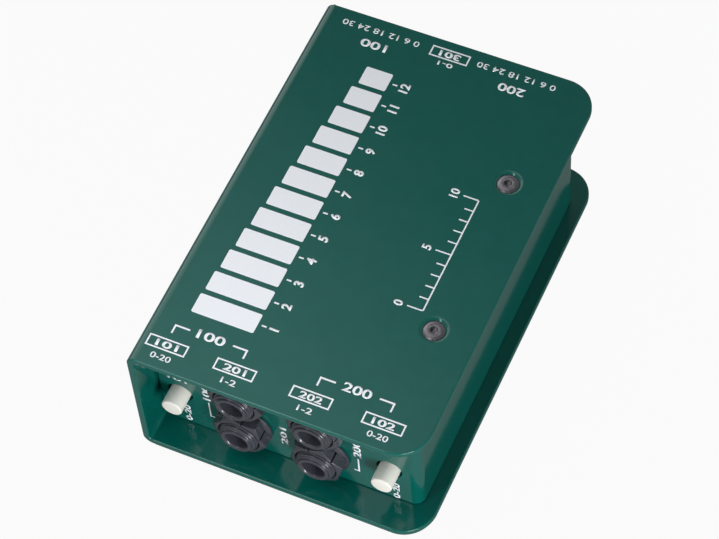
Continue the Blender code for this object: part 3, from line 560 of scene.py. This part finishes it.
def make_chassis():
    left, wall = CHASSIS_LOW.x, CHASSIS_HIGH.x
    inner = CHASSIS_BEND_RADIUS - CHASSIS_SHEET
    front, rear = FRONT_Y + CHASSIS_SHEET, REAR_Y - CHASSIS_SHEET
    plan = rounded(
        [
            (left, FRONT_Y, 0),
            (wall, FRONT_Y, CHASSIS_BEND_RADIUS),
            (wall, REAR_Y, CHASSIS_BEND_RADIUS),
            (left, REAR_Y, 0),
            (left, rear, 0),
            (wall - CHASSIS_SHEET, rear, inner),
            (wall - CHASSIS_SHEET, front, inner),
            (left, front, 0),
        ],
        BEND_STEPS,
    )
    chassis = mesh_object("chassis_enamelled", prism(plan, CHASSIS_LOW.z, CHASSIS_HIGH.z))
    for _, matrix in jack_places():
        radius = JACK_THREAD_RADIUS + 0.0002
        combine(chassis, "DIFFERENCE", turned([(0, -PAST), (radius, -PAST), (radius, PAST), (0, PAST)], matrix=matrix))
    for name, matrix in button_places():
        low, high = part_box(f"{name}_button_cap")
        radius = (high.x - low.x) / 2 + 0.00065
        combine(chassis, "DIFFERENCE", turned([(0, -PAST), (radius, -PAST), (radius, PAST), (0, PAST)], matrix=matrix))
    for side, matrix in connector_places():
        radius = XLR_BARREL_RADIUS + 0.0003
        combine(chassis, "DIFFERENCE", turned([(0, -PAST), (radius, -PAST), (radius, PAST), (0, PAST)], matrix=matrix))
        for row in ("upper", "lower"):
            at = middle(f"{side}_xlr_screw_{row}")
            hole = placed((at.x, REAR_Y, at.z), FACING_REAR)
            radius = XLR_SCREW_HOLE
            profile = [(0, -PAST), (radius, -PAST), (radius, PAST), (0, PAST)]
            combine(chassis, "DIFFERENCE", turned(profile, 32, hole))
    soften(chassis, HOLE_EDGE, 3)
    reach_y = rear - FLANGE_END_GAP
    for low_z in (CHASSIS_LOW.z + FLANGE_STEP, CHASSIS_HIGH.z - FLANGE_STEP - CHASSIS_SHEET):
        low = (wall - FLANGE_REACH, -reach_y, low_z)
        high = (wall - CHASSIS_SHEET / 2, reach_y, low_z + CHASSIS_SHEET)
        combine(chassis, "UNION", block(low, high))
    for _, matrix in screw_places():
        radius = SCREW_THREAD_RADIUS + COUNTERSINK_GAP
        profile = [(0, -2 * PAST), (radius, -2 * PAST), (radius, 0), (0, 0)]
        combine(chassis, "DIFFERENCE", turned(profile, 32, matrix))
    fit(shade(chassis), "green_enamel", stands_for=["inner_chassis"])


def make_cover_screws():
    screw = None
    for node, matrix in screw_places():
        if screw:
            twin(screw, f"{node}_fine", matrix, stands_for=[node])
            continue
        low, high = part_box(node)
        sink = 0.0001
        tip = -(high.z - low.z) - sink
        head_low = -sink - SCREW_HEAD_HEIGHT
        thread = SCREW_THREAD_RADIUS
        profile = rounded(
            [
                (0, tip, 0),
                (thread - 0.0004, tip, 0),
                (thread, tip + 0.0004, 0),
                (thread, head_low, 0),
                (SCREW_HEAD_RADIUS, -sink - SCREW_HEAD_DOME, 0.0002),
                (SCREW_HEAD_RADIUS - 0.0011, -sink, 0.0020),
                (0, -sink, 0),
            ]
        )
        screw = mesh_object(f"{node}_fine", turned(profile))
        corner = SCREW_SOCKET_FLATS / math.sqrt(3)
        hexagon = [(corner * math.cos(math.pi * k / 3), corner * math.sin(math.pi * k / 3)) for k in range(6)]
        combine(screw, "DIFFERENCE", prism(hexagon, -sink - SCREW_SOCKET_DEPTH, PAST))
        soften(screw, 0.00012, 2)
        fit(shade(screw), "black_screw", matrix, stands_for=[node])


# ---------------------------------------------------------------- Phone jacks
def thread_radius(height):
    """The bushing's surface at one height: a ridge that winds round once per pitch."""

    def reach(angle):
        turn = (height / JACK_THREAD_PITCH + angle / (2 * math.pi)) % 1
        ridge = 0.5 + 0.5 * math.cos(2 * math.pi * turn)
        lead = max(0.0, height - (JACK_THREAD_END - JACK_THREAD_PITCH)) / JACK_THREAD_PITCH
        crest = JACK_THREAD_RADIUS - (JACK_THREAD_RADIUS - JACK_NECK_RADIUS) * 0.45 * lead
        return crest - JACK_THREAD_DEPTH * (1 - ridge) ** 1.4 * (1 - 0.5 * lead)

    return reach


def make_jack_housing(mouth):
    half = JACK_BODY_HALF
    back = -(BEHIND_PANEL + JACK_BODY_LENGTH)
    housing = mesh_object("jack_housing", block((-half.x, -half.y, back), (half.x, half.y, -BEHIND_PANEL)))
    soften(housing, 0.0003, 2)
    rows = 22
    pitch_rows = [JACK_THREAD_START + (JACK_THREAD_END - JACK_THREAD_START) * k / rows for k in range(rows + 1)]
    profile = [(0, -BEHIND_PANEL - JACK_THREAD_RADIUS), (JACK_THREAD_RADIUS, -BEHIND_PANEL - JACK_THREAD_RADIUS)]
    profile += [(thread_radius(height), height) for height in pitch_rows]
    profile += rounded(
        [
            (JACK_NECK_RADIUS, JACK_THREAD_END + 0.0001, 0),
            (JACK_NOSE_RADIUS + 0.00005, JACK_THREAD_END + 0.0003, 0.0001),
            (JACK_NOSE_RADIUS, mouth, 0.00028),
            (0, mouth, 0),
        ]
    )[:-1]
    profile.append((0, mouth))
    combine(housing, "UNION", turned(profile, 96))
    bore = rounded(
        [
            (0, back + JACK_BODY_WALL, 0),
            (JACK_BORE_RADIUS, back + JACK_BODY_WALL, 0),
            (JACK_BORE_RADIUS, mouth - 0.0004, 0.0005),
            (JACK_LIP_RADIUS, mouth, 0.0002),
            (JACK_LIP_RADIUS + PAST, mouth + 0.0006, 0),
            (0, mouth + 0.0006, 0),
        ]
    )
    combine(housing, "DIFFERENCE", turned(bore, 96))
    for depth, side in ((SLEEVE_CONTACT_DEPTH, 1), (TIP_CONTACT_DEPTH, -1)):
        xs = sorted((side * JACK_BORE_RADIUS * 0.5, side * (half.x + PAST)))
        slot = CONTACT_SLOT_HALF
        combine(housing, "DIFFERENCE", block((xs[0], -slot.y, -depth - slot.z), (xs[1], slot.y, slot.z - depth)))
    return shade(housing, 40)


def make_jack_nut():
    """A hexagon with a slit in the middle of each side, over a conical flange."""
    flats = NUT_FLATS / 2
    top = FACE_GAP + NUT_HEIGHT
    half = NUT_SLIT_WIDTH / 2
    outline = []
    for side in range(6):
        turn = Matrix.Rotation(math.pi * side / 3, 2)
        reach = flats / math.cos(math.pi / 6)
        corner = Matrix.Rotation(-math.pi / 6, 2) @ Vector((reach, 0))
        slit = [(flats, -half), (flats - NUT_SLIT_DEPTH, -half), (flats - NUT_SLIT_DEPTH, half), (flats, half)]
        outline += [tuple(turn @ point) for point in (corner, *map(Vector, slit))]
    nut = mesh_object("jack_nut", prism(outline, FACE_GAP + NUT_FLANGE_HIGH - 0.0002, top))
    slope = 0.0012
    envelope = [(0, 0), (0.0090, 0), (0.0090, top - slope), (flats - 0.0002, top), (0, top)]
    combine(nut, "INTERSECT", turned(envelope, 90))
    soften(nut, 0.00014, 2)
    flange = rounded(
        [
            (0, FACE_GAP, 0),
            (NUT_FLANGE_RADIUS, FACE_GAP, 0.0001),
            (NUT_FLANGE_RADIUS, FACE_GAP + NUT_FLANGE_LOW, 0.0002),
            (flats - 0.0001, FACE_GAP + NUT_FLANGE_HIGH, 0.0002),
            (0, FACE_GAP + NUT_FLANGE_HIGH, 0),
        ]
    )
    combine(nut, "UNION", turned(flange, 96))
    lip = NUT_BORE_RADIUS + 0.0003
    bore = [(0, -PAST), (NUT_BORE_RADIUS, -PAST), (NUT_BORE_RADIUS, top - 0.0003), (lip, top), (lip, PAST * 2), (0, PAST * 2)]
    combine(nut, "DIFFERENCE", turned(bore, 96))
    return shade(nut, 30)


def make_jacks():
    low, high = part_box("upper_left_jack_housing")
    housing = make_jack_housing(FRONT_Y - low.y)
    nut = make_jack_nut()
    for name, matrix in jack_places():
        tightened = placed(matrix.translation, FACING_FRONT) @ Matrix.Rotation(math.radians(NUT_TURNS[name]), 4, "Z")
        for shape, part, frame_of_part in ((housing, "housing", matrix), (nut, "nut", tightened)):
            node = f"{name}_jack_{part}"
            if shape.get("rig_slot"):
                twin(shape, f"{node}_fine", frame_of_part, stands_for=[node])
                continue
            shape.name = f"{node}_fine"
            fit(shape, "black_plastic", frame_of_part, stands_for=[node])


# ---------------------------------------------------------------- Push buttons
def make_caps():
    cap = None
    for name, matrix in button_places():
        node = f"{name}_button_cap"
        body = "left_pad_button" if name == "left_pad" else f"{name}_button"
        if cap:
            twin(cap, f"{node}_fine", matrix, body, [node])
            continue
        low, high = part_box(node)
        radius = (high.x - low.x) / 2
        front, back = FRONT_Y - low.y, FRONT_Y - high.y
        profile = rounded(
            [(0, back, 0), (radius, back, 0.0002), (radius, front, CAP_EDGE), (0, front, 0)]
        )
        cap = mesh_object(f"{node}_fine", turned(profile, 64))
        half = CAP_SOCKET_HALF
        combine(cap, "DIFFERENCE", block((-half, -half, back - PAST), (half, half, back + CAP_SOCKET_DEPTH)))
        fit(shade(cap, 40), "cream_plastic", matrix, body, [node])


# ---------------------------------------------------------------- Three-pin connectors
def make_connector_shell():
    low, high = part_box("left_xlr_shell")
    half_x, half_z = (high.x - low.x) / 2, (high.z - low.z) / 2
    face = FACE_GAP + XLR_FLANGE_THICKNESS
    corner = XLR_FLANGE_CORNER
    plate = rounded(
        [(-half_x, -half_z, corner), (half_x, -half_z, corner), (half_x, half_z, corner), (-half_x, half_z, corner)],
        12,
    )
    shell = mesh_object("xlr_shell", prism(plate, FACE_GAP, face))
    soften(shell, 0.0003, 3)
    ring = rounded(
        [
            (0, -XLR_BARREL_LENGTH, 0),
            (XLR_BARREL_RADIUS, -XLR_BARREL_LENGTH, 0.0003),
            (XLR_BARREL_RADIUS, FACE_GAP + XLR_FLANGE_THICKNESS / 2, 0),
            (XLR_RING_RADIUS + 0.0003, face, 0),
            (XLR_RING_RADIUS, face + XLR_RING_HEIGHT, 0.0002),
            (0, face + XLR_RING_HEIGHT, 0),
        ]
    )
    combine(shell, "UNION", turned(ring, 96))
    lip = XLR_CUP_RADIUS + 0.0004
    top = face + XLR_RING_HEIGHT
    bore = [(0, -PAST * 4), (XLR_CUP_RADIUS, -PAST * 4), (XLR_CUP_RADIUS, top - 0.0004), (lip, top), (lip, top + PAST), (0, top + PAST)]
    combine(shell, "DIFFERENCE", turned(bore, 96))
    notch_low = (-XLR_NOTCH_HALF, XLR_CUP_RADIUS - 0.001, top - XLR_NOTCH_LENGTH)
    notch_high = (XLR_NOTCH_HALF, XLR_CUP_RADIUS + XLR_NOTCH_DEPTH, top + PAST)
    combine(shell, "DIFFERENCE", block(notch_low, notch_high))
    for row in ("upper", "lower"):
        at = middle(f"left_xlr_screw_{row}")
        centre = middle("left_xlr_shell")
        offset = Matrix.Translation((centre.x - at.x, at.z - centre.z, 0))
        radius = XLR_SCREW_HOLE
        profile = [(0, -PAST), (radius, -PAST), (radius, PAST), (0, PAST)]
        combine(shell, "DIFFERENCE", turned(profile, 32, offset))
    return shade(shell, 35)


def make_connector_screw():
    seat = 2 * FACE_GAP + XLR_FLANGE_THICKNESS
    top = seat + XLR_SCREW_HEAD_HEIGHT
    tip = -(CHASSIS_SHEET + 0.0030)
    profile = rounded(
        [
            (0, tip, 0),
            (XLR_SCREW_RADIUS, tip, 0.0003),
            (XLR_SCREW_RADIUS, seat, 0),
            (XLR_SCREW_HEAD_RADIUS, seat, 0.0001),
            (XLR_SCREW_HEAD_RADIUS, top - 0.0008, 0.0004),
            (XLR_SCREW_HEAD_RADIUS * 0.45, top, 0.0012),
            (0, top, 0),
        ]
    )
    screw = mesh_object("xlr_screw", turned(profile, 48))
    half, reach = XLR_RECESS_WIDTH / 2, XLR_RECESS_REACH
    cross = [(half, half), (half, reach), (-half, reach), (-half, half), (-reach, half), (-reach, -half)]
    cross += [(-half, -half), (-half, -reach), (half, -reach), (half, -half), (reach, -half), (reach, half)]
    combine(screw, "DIFFERENCE", prism(cross, top - XLR_RECESS_DEPTH, top + PAST))
    return shade(screw, 35)


def make_connector_pin():
    low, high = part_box("left_xlr_pin_1")
    tip, tail = high.y - REAR_Y, low.y - REAR_Y
    insert_low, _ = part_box("left_xlr_insert")
    step = insert_low.y - REAR_Y + 0.0012
    profile = rounded(
        [
            (0, tail, 0),
            (XLR_TAIL_RADIUS, tail, 0.0002),
            (XLR_TAIL_RADIUS, step, 0),
            (XLR_PIN_RADIUS, step, 0.0001),
            (XLR_PIN_RADIUS, tip - 0.0006, 0.0008),
            (XLR_PIN_RADIUS * 0.5, tip, 0.0005),
            (0, tip, 0),
        ]
    )
    return shade(mesh_object("xlr_pin", turned(profile, 40)), 40)


def make_connectors():
    shell, screw, pin = make_connector_shell(), make_connector_screw(), make_connector_pin()

    def use(shape, node, finish, matrix):
        if shape.get("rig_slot"):
            twin(shape, f"{node}_fine", matrix, stands_for=[node])
            return
        shape.name = f"{node}_fine"
        fit(shape, finish, matrix, stands_for=[node])

    for side, matrix in connector_places():
        use(shell, f"{side}_xlr_shell", "black_metal", matrix)
        for row in ("upper", "lower"):
            node = f"{side}_xlr_screw_{row}"
            at = middle(node)
            use(screw, node, "black_screw", placed((at.x, REAR_Y, at.z), FACING_REAR))
        for number in (1, 2, 3):
            node = f"{side}_xlr_pin_{number}"
            at = middle(node)
            use(pin, node, "nickel", placed((at.x, REAR_Y, at.z), FACING_REAR))


# ---------------------------------------------------------------- Print
INK = 0.00002  # thickness of the printed ink
INK_LIFT = 0.00001
MM = 0.001


class Print:
    """Flat shapes in millimetres on one face, raised together by the ink's thickness."""

    def __init__(self):
        self.bm = bmesh.new()

    def area(self, outline):
        self.bm.faces.new([self.bm.verts.new((x * MM, y * MM, 0)) for x, y in outline])

    def bar(self, x0, y0, x1, y1, radius=0.0):
        corners = [(x0, y0, radius), (x1, y0, radius), (x1, y1, radius), (x0, y1, radius)]
        self.area(rounded(corners, 6))

    def line(self, points, width, closed=False):
        """A line of one width with mitred corners."""
        count = len(points)
        pairs = []
        for index, point in enumerate(points):
            here = Vector(point)
            ways = []
            if closed or index > 0:
                ways.append((here - Vector(points[index - 1])).normalized())
            if closed or index < count - 1:
                ways.append((Vector(points[(index + 1) % count]) - here).normalized())
            across = sum((Vector((-way.y, way.x)) for way in ways), Vector((0, 0))).normalized()
            reach = width / 2 / across.dot(Vector((-ways[0].y, ways[0].x)))
            pairs.append([self.bm.verts.new((*(side * MM), 0)) for side in (here + across * reach, here - across * reach)])
        spans = list(zip(pairs, pairs[1:]))
        if closed:
            spans.append((pairs[-1], pairs[0]))
        for first, second in spans:
            self.bm.faces.new((first[0], first[1], second[1], second[0]))

    def frame(self, x0, y0, x1, y1, width):
        inset = width / 2
        a, b, c, d = x0 + inset, y0 + inset, x1 - inset, y1 - inset
        self.line([(a, b), (c, b), (c, d), (a, d)], width, closed=True)

    def number(self, text, x, y, height, width=None, turn=0.0, weight=0.02):
        """Plain numbers, centred on a point, as high as the digits and as wide as given."""
        curve = bpy.data.curves.new("number", "FONT")
        curve.body = text
        curve.offset = weight
        curve.resolution_u = 5
        words = bpy.data.objects.new("number", curve)
        bpy.context.scene.collection.objects.link(words)
        mesh = bpy.data.meshes.new_from_object(words.evaluated_get(bpy.context.evaluated_depsgraph_get()))
        bpy.data.objects.remove(words)
        xs = [vert.co.x for vert in mesh.vertices]
        ys = [vert.co.y for vert in mesh.vertices]
        scale = height * MM / (max(ys) - min(ys))
        scale_across = width * MM / (max(xs) - min(xs)) if width else scale
        centre = Matrix.Translation((-(min(xs) + max(xs)) / 2, -(min(ys) + max(ys)) / 2, 0))
        size = Matrix.Diagonal((scale_across, scale, 1, 1))
        turned_by = Matrix.Rotation(math.radians(turn), 4, "Z")
        mesh.transform(Matrix.Translation((x * MM, y * MM, 0)) @ turned_by @ size @ centre)
        self.bm.from_mesh(mesh)

    def finish(self, name, matrix):
        loose = [vert for vert in self.bm.verts if not vert.link_faces]
        bmesh.ops.delete(self.bm, geom=loose, context="VERTS")
        bmesh.ops.recalc_face_normals(self.bm, faces=self.bm.faces)
        made = bmesh.ops.extrude_face_region(self.bm, geom=list(self.bm.faces))
        top = [item for item in made["geom"] if isinstance(item, bmesh.types.BMVert)]
        bmesh.ops.translate(self.bm, verts=top, vec=(0, 0, INK))
        return fit(mesh_object(name, self.bm), "white_ink", matrix, slot="green_enamel")


FRAME_LINE = 0.42
BRACKET_LINE = 0.50


def print_top_plate():
    plate = Print()
    frames = ((-38.6, -27.2, "101", "0-20"), (-19.0, -7.6, "201", "1-2"), (2.7, 14.1, "202", "1-2"), (23.1, 34.5, "102", "0-20"))
    for left, right, text, range_text in frames:
        centre = (left + right) / 2
        plate.frame(left, -57.8, right, -54.2, FRAME_LINE)
        plate.number(text, centre, -56.0, 2.1, 6.4, weight=0.025)
        plate.number(range_text, centre, -59.9, 1.8, 5.8 if len(range_text) > 3 else 4.2, weight=0.012)
    for left, right, text in ((-33.5, -12.8, "100"), (8.3, 29.0, "200")):
        drop = -52.2
        level = -49.6
        plate.line([(left, drop), (left, level), (left + 4.2, level)], BRACKET_LINE)
        plate.line([(right - 4.1, level), (right, level), (right, drop)], BRACKET_LINE)
        plate.number(text, (left + right) / 2, level, 2.8, 8.0, weight=0.022)
    for x, text in ((-22.9, "0 6 12 18 24 30"), (17.9, "0 6 12 18 24 30")):
        plate.number(text, x, 59.0, 1.9, 23.3, turn=180, weight=0.008)
    for x, text in ((-23.0, "100"), (18.4, "200")):
        plate.number(text, x, 54.2, 2.7, 7.8, turn=180, weight=0.022)
    plate.frame(-7.6, 57.0, 3.8, 60.6, FRAME_LINE)
    plate.number("301", -1.9, 58.8, 2.1, 6.2, turn=180, weight=0.03)
    plate.number("0-1", -1.9, 55.4, 1.5, 4.4, turn=180)
    print_level_bars(plate)
    print_scale(plate)
    plate.finish("top_plate_print", placed((0, 0, COVER_HIGH.z + INK_LIFT)))


def print_level_bars(plate):
    """White bars that shorten towards the rear, each with a tick and a number."""
    count, start, end = 12, -44.2, 48.3
    right, longest, shortest = -13.7, 18.1, 8.0
    pitch = (end - start) / count
    for index in range(count):
        low = start + pitch * index
        length = longest + (shortest - longest) * (index / (count - 1)) ** 1.3
        plate.bar(right - length, low, right, low + pitch * 0.8, 0.5)
        middle_y = low + pitch * 0.4
        plate.line([(-12.6, middle_y), (-11.2, middle_y)], 0.45)
        plate.number(str(index + 1), -9.0, middle_y, 2.8, turn=90, weight=0.035)


def print_scale(plate):
    """A thin ruled scale with plain numbers, where the right-hand print stands."""
    x, low, high, steps = 24.5, -21.0, 16.7, 10
    plate.line([(x, low), (x, high)], 0.4)
    for index in range(steps + 1):
        y = low + (high - low) * index / steps
        long_tick = index % 5 == 0
        plate.line([(x - (4.5 if long_tick else 2.6), y), (x - 0.2, y)], 0.4)
        if long_tick:
            plate.number(str(index), x - 7.0, y, 2.6, turn=90, weight=0.03)


def print_front_panel():
    panel = Print()
    base = -COVER_LOW.z / MM
    for x, low, high, text, height in (
        (-24.9, 17.8, 25.2, "100", 2.4),
        (-31.7, 3.0, 11.0, "0-20", 2.1),
        (-2.5, 9.2, 17.9, "201", 2.1),
        (19.2, 16.8, 25.2, "200", 2.4),
        (30.0, 2.3, 10.2, "0-20", 2.1),
    ):
        panel.number(text, x, (low + high) / 2 - base, height, high - low, turn=90, weight=0.03)
    panel.line([(-24.5, 16.8 - base), (-24.5, 9.8 - base), (-23.0, 9.8 - base)], 0.45)
    panel.line([(19.4, 16.0 - base), (19.4, 9.6 - base), (18.0, 9.6 - base)], 0.45)
    panel.number("101", -33.3, 23.7 - base, 1.9, 6.0, weight=0.03)
    panel.finish("front_panel_print", placed((0, FRONT_Y - INK_LIFT, 0), FACING_FRONT))


# ---------------------------------------------------------------- Camera, floor and light
CAMERA_AZIMUTH = math.radians(28.471)
CAMERA_ELEVATION = math.radians(56.637)
CAMERA_ROLL = math.radians(-5.171)
CAMERA_DISTANCE = 0.7494
CAMERA_AIM = Vector((-0.00224, -0.00420, 0.02525))
CAMERA_LENS = 137.79


def from_direction(azimuth, elevation):
    """Unit vector towards a place at this azimuth, from the front towards +X, and elevation."""
    level = math.cos(elevation)
    return Vector((math.sin(azimuth) * level, -math.cos(azimuth) * level, math.sin(elevation)))


def facing(direction, roll=0.0):
    """Rotation that looks against the direction, with the horizon level before the roll."""
    return direction.to_track_quat("Z", "Y") @ Euler((0, 0, roll)).to_quaternion()


def make_camera():
    camera = bpy.data.objects.new("camera", bpy.data.cameras.new("camera"))
    bpy.context.scene.collection.objects.link(camera)
    direction = from_direction(CAMERA_AZIMUTH, CAMERA_ELEVATION)
    camera.location = CAMERA_AIM + direction * CAMERA_DISTANCE
    camera.rotation_mode = "QUATERNION"
    camera.rotation_quaternion = facing(direction, CAMERA_ROLL)
    camera.data.lens = CAMERA_LENS
    camera.data.clip_start = 0.01
    bpy.context.scene.camera = camera


def make_lamp(name, at, target, size, power, mirrored=True):
    light = bpy.data.lights.new(name, "AREA")
    light.shape = "RECTANGLE"
    light.size, light.size_y = size
    light.energy = power
    lamp = bpy.data.objects.new(name, light)
    bpy.context.scene.collection.objects.link(lamp)
    lamp.location = at
    lamp.rotation_mode = "QUATERNION"
    lamp.rotation_quaternion = (Vector(at) - Vector(target)).to_track_quat("Z", "Y")
    lamp.visible_camera = False
    lamp.visible_glossy = mirrored


FLOOR_GREY = 0.24  # what the floor reflects
FLOOR_SEEN = 0.95  # share of plain white in the floor that the camera sees
FLOOR_MIRRORED = 0.08  # share of plain white in the floor that gloss and glass show
SKY_LOW, SKY_HIGH = 0.40, 0.14  # at the horizon and overhead
SKY_FADE = (0.30, 0.60)  # heights on the unit sphere between which the sky dims
GLOWS = (  # direction, cosines of the angles at which it starts and is full, strength
    ((-0.42, 0.10, 0.90), 0.883, 0.970, 0.70),
    ((-0.80, 0.50, 0.33), 0.80, 0.93, 0.80),
)


class Graph:
    """Shader nodes of the floor and the world, joined as they are made."""

    def __init__(self, tree):
        self.tree = tree

    def value(self, socket, target):
        if isinstance(socket, (int, float)):
            target.default_value = socket
        else:
            self.tree.links.new(socket, target)

    def maths(self, operation, first, second):
        node = self.tree.nodes.new("ShaderNodeMath")
        node.operation = operation
        self.value(first, node.inputs[0])
        self.value(second, node.inputs[1])
        return node.outputs[0]

    def fade(self, value, start, end, first, second):
        node = self.tree.nodes.new("ShaderNodeMapRange")
        node.interpolation_type = "SMOOTHSTEP"
        for name, number in (("From Min", start), ("From Max", end), ("To Min", first), ("To Max", second)):
            node.inputs[name].default_value = number
        self.value(value, node.inputs["Value"])
        return node.outputs["Result"]


def make_floor():
    bm = bmesh.new()
    bmesh.ops.create_grid(bm, x_segments=1, y_segments=1, size=3.0)
    floor = mesh_object("floor", bm)
    floor.location.z = -0.00005
    made = bpy.data.materials.new("floor")
    made.use_nodes = True
    tree = made.node_tree
    tree.nodes.clear()
    graph = Graph(tree)
    paper = tree.nodes.new("ShaderNodeBsdfDiffuse")
    paper.inputs["Color"].default_value = (FLOOR_GREY, FLOOR_GREY, FLOOR_GREY, 1)
    white = tree.nodes.new("ShaderNodeEmission")
    white.inputs["Color"].default_value = (1, 1, 1, 1)
    path = tree.nodes.new("ShaderNodeLightPath").outputs
    mirrored = graph.maths("MAXIMUM", path["Is Glossy Ray"], path["Is Transmission Ray"])
    mirrored = graph.maths("MULTIPLY", mirrored, FLOOR_MIRRORED)
    share = graph.maths("MAXIMUM", graph.maths("MULTIPLY", path["Is Camera Ray"], FLOOR_SEEN), mirrored)
    mix = tree.nodes.new("ShaderNodeMixShader")
    tree.links.new(share, mix.inputs["Fac"])
    tree.links.new(paper.outputs[0], mix.inputs[1])
    tree.links.new(white.outputs[0], mix.inputs[2])
    output = tree.nodes.new("ShaderNodeOutputMaterial")
    tree.links.new(mix.outputs[0], output.inputs["Surface"])
    floor.data.materials.append(made)


def make_world():
    """Bright round the horizon, dimmer overhead, with a soft glow high on the left."""
    world = bpy.data.worlds.new("studio")
    bpy.context.scene.world = world
    world.use_nodes = True
    tree = world.node_tree
    graph = Graph(tree)
    direction = tree.nodes.new("ShaderNodeTexCoord").outputs["Generated"]
    split = tree.nodes.new("ShaderNodeSeparateXYZ")
    tree.links.new(direction, split.inputs["Vector"])
    sky = graph.fade(split.outputs["Z"], *SKY_FADE, SKY_LOW, SKY_HIGH)
    for towards, edge, core, strength in GLOWS:
        near = tree.nodes.new("ShaderNodeVectorMath")
        near.operation = "DOT_PRODUCT"
        near.inputs[1].default_value = Vector(towards).normalized()
        tree.links.new(direction, near.inputs[0])
        sky = graph.maths("ADD", sky, graph.fade(near.outputs["Value"], edge, core, 0, strength))
    background = tree.nodes["Background"]
    background.inputs["Color"].default_value = (1, 1, 1, 1)
    tree.links.new(sky, background.inputs["Strength"])


def make_studio():
    make_camera()
    make_floor()
    make_world()
    centre = Vector((0, 0, COVER_HIGH.z))
    make_lamp("key", (0.370, -0.410, 0.150), (0, 0, 0.02), (0.20, 0.16), 1.45, mirrored=False)
    make_lamp("overhead", (-0.04, -0.10, 0.20), centre, (0.14, 0.10), 0.145, mirrored=False)
    window = from_direction(math.radians(-23), math.radians(43)) * 0.60
    make_lamp("window", centre + window, centre, (0.12, 0.34), 0.42)
    low = Vector((0, 0, 0.022))
    make_lamp("low", low + from_direction(math.radians(42), 0) * 0.56, low, (0.24, 0.09), 1.85)
    bpy.context.scene.view_settings.view_transform = "Standard"


# ---------------------------------------------------------------- Assembly
dress_frame()
make_cover()
make_pad()
make_chassis()
make_cover_screws()
make_jacks()
make_caps()
make_connectors()
print_top_plate()
print_front_panel()
make_studio()
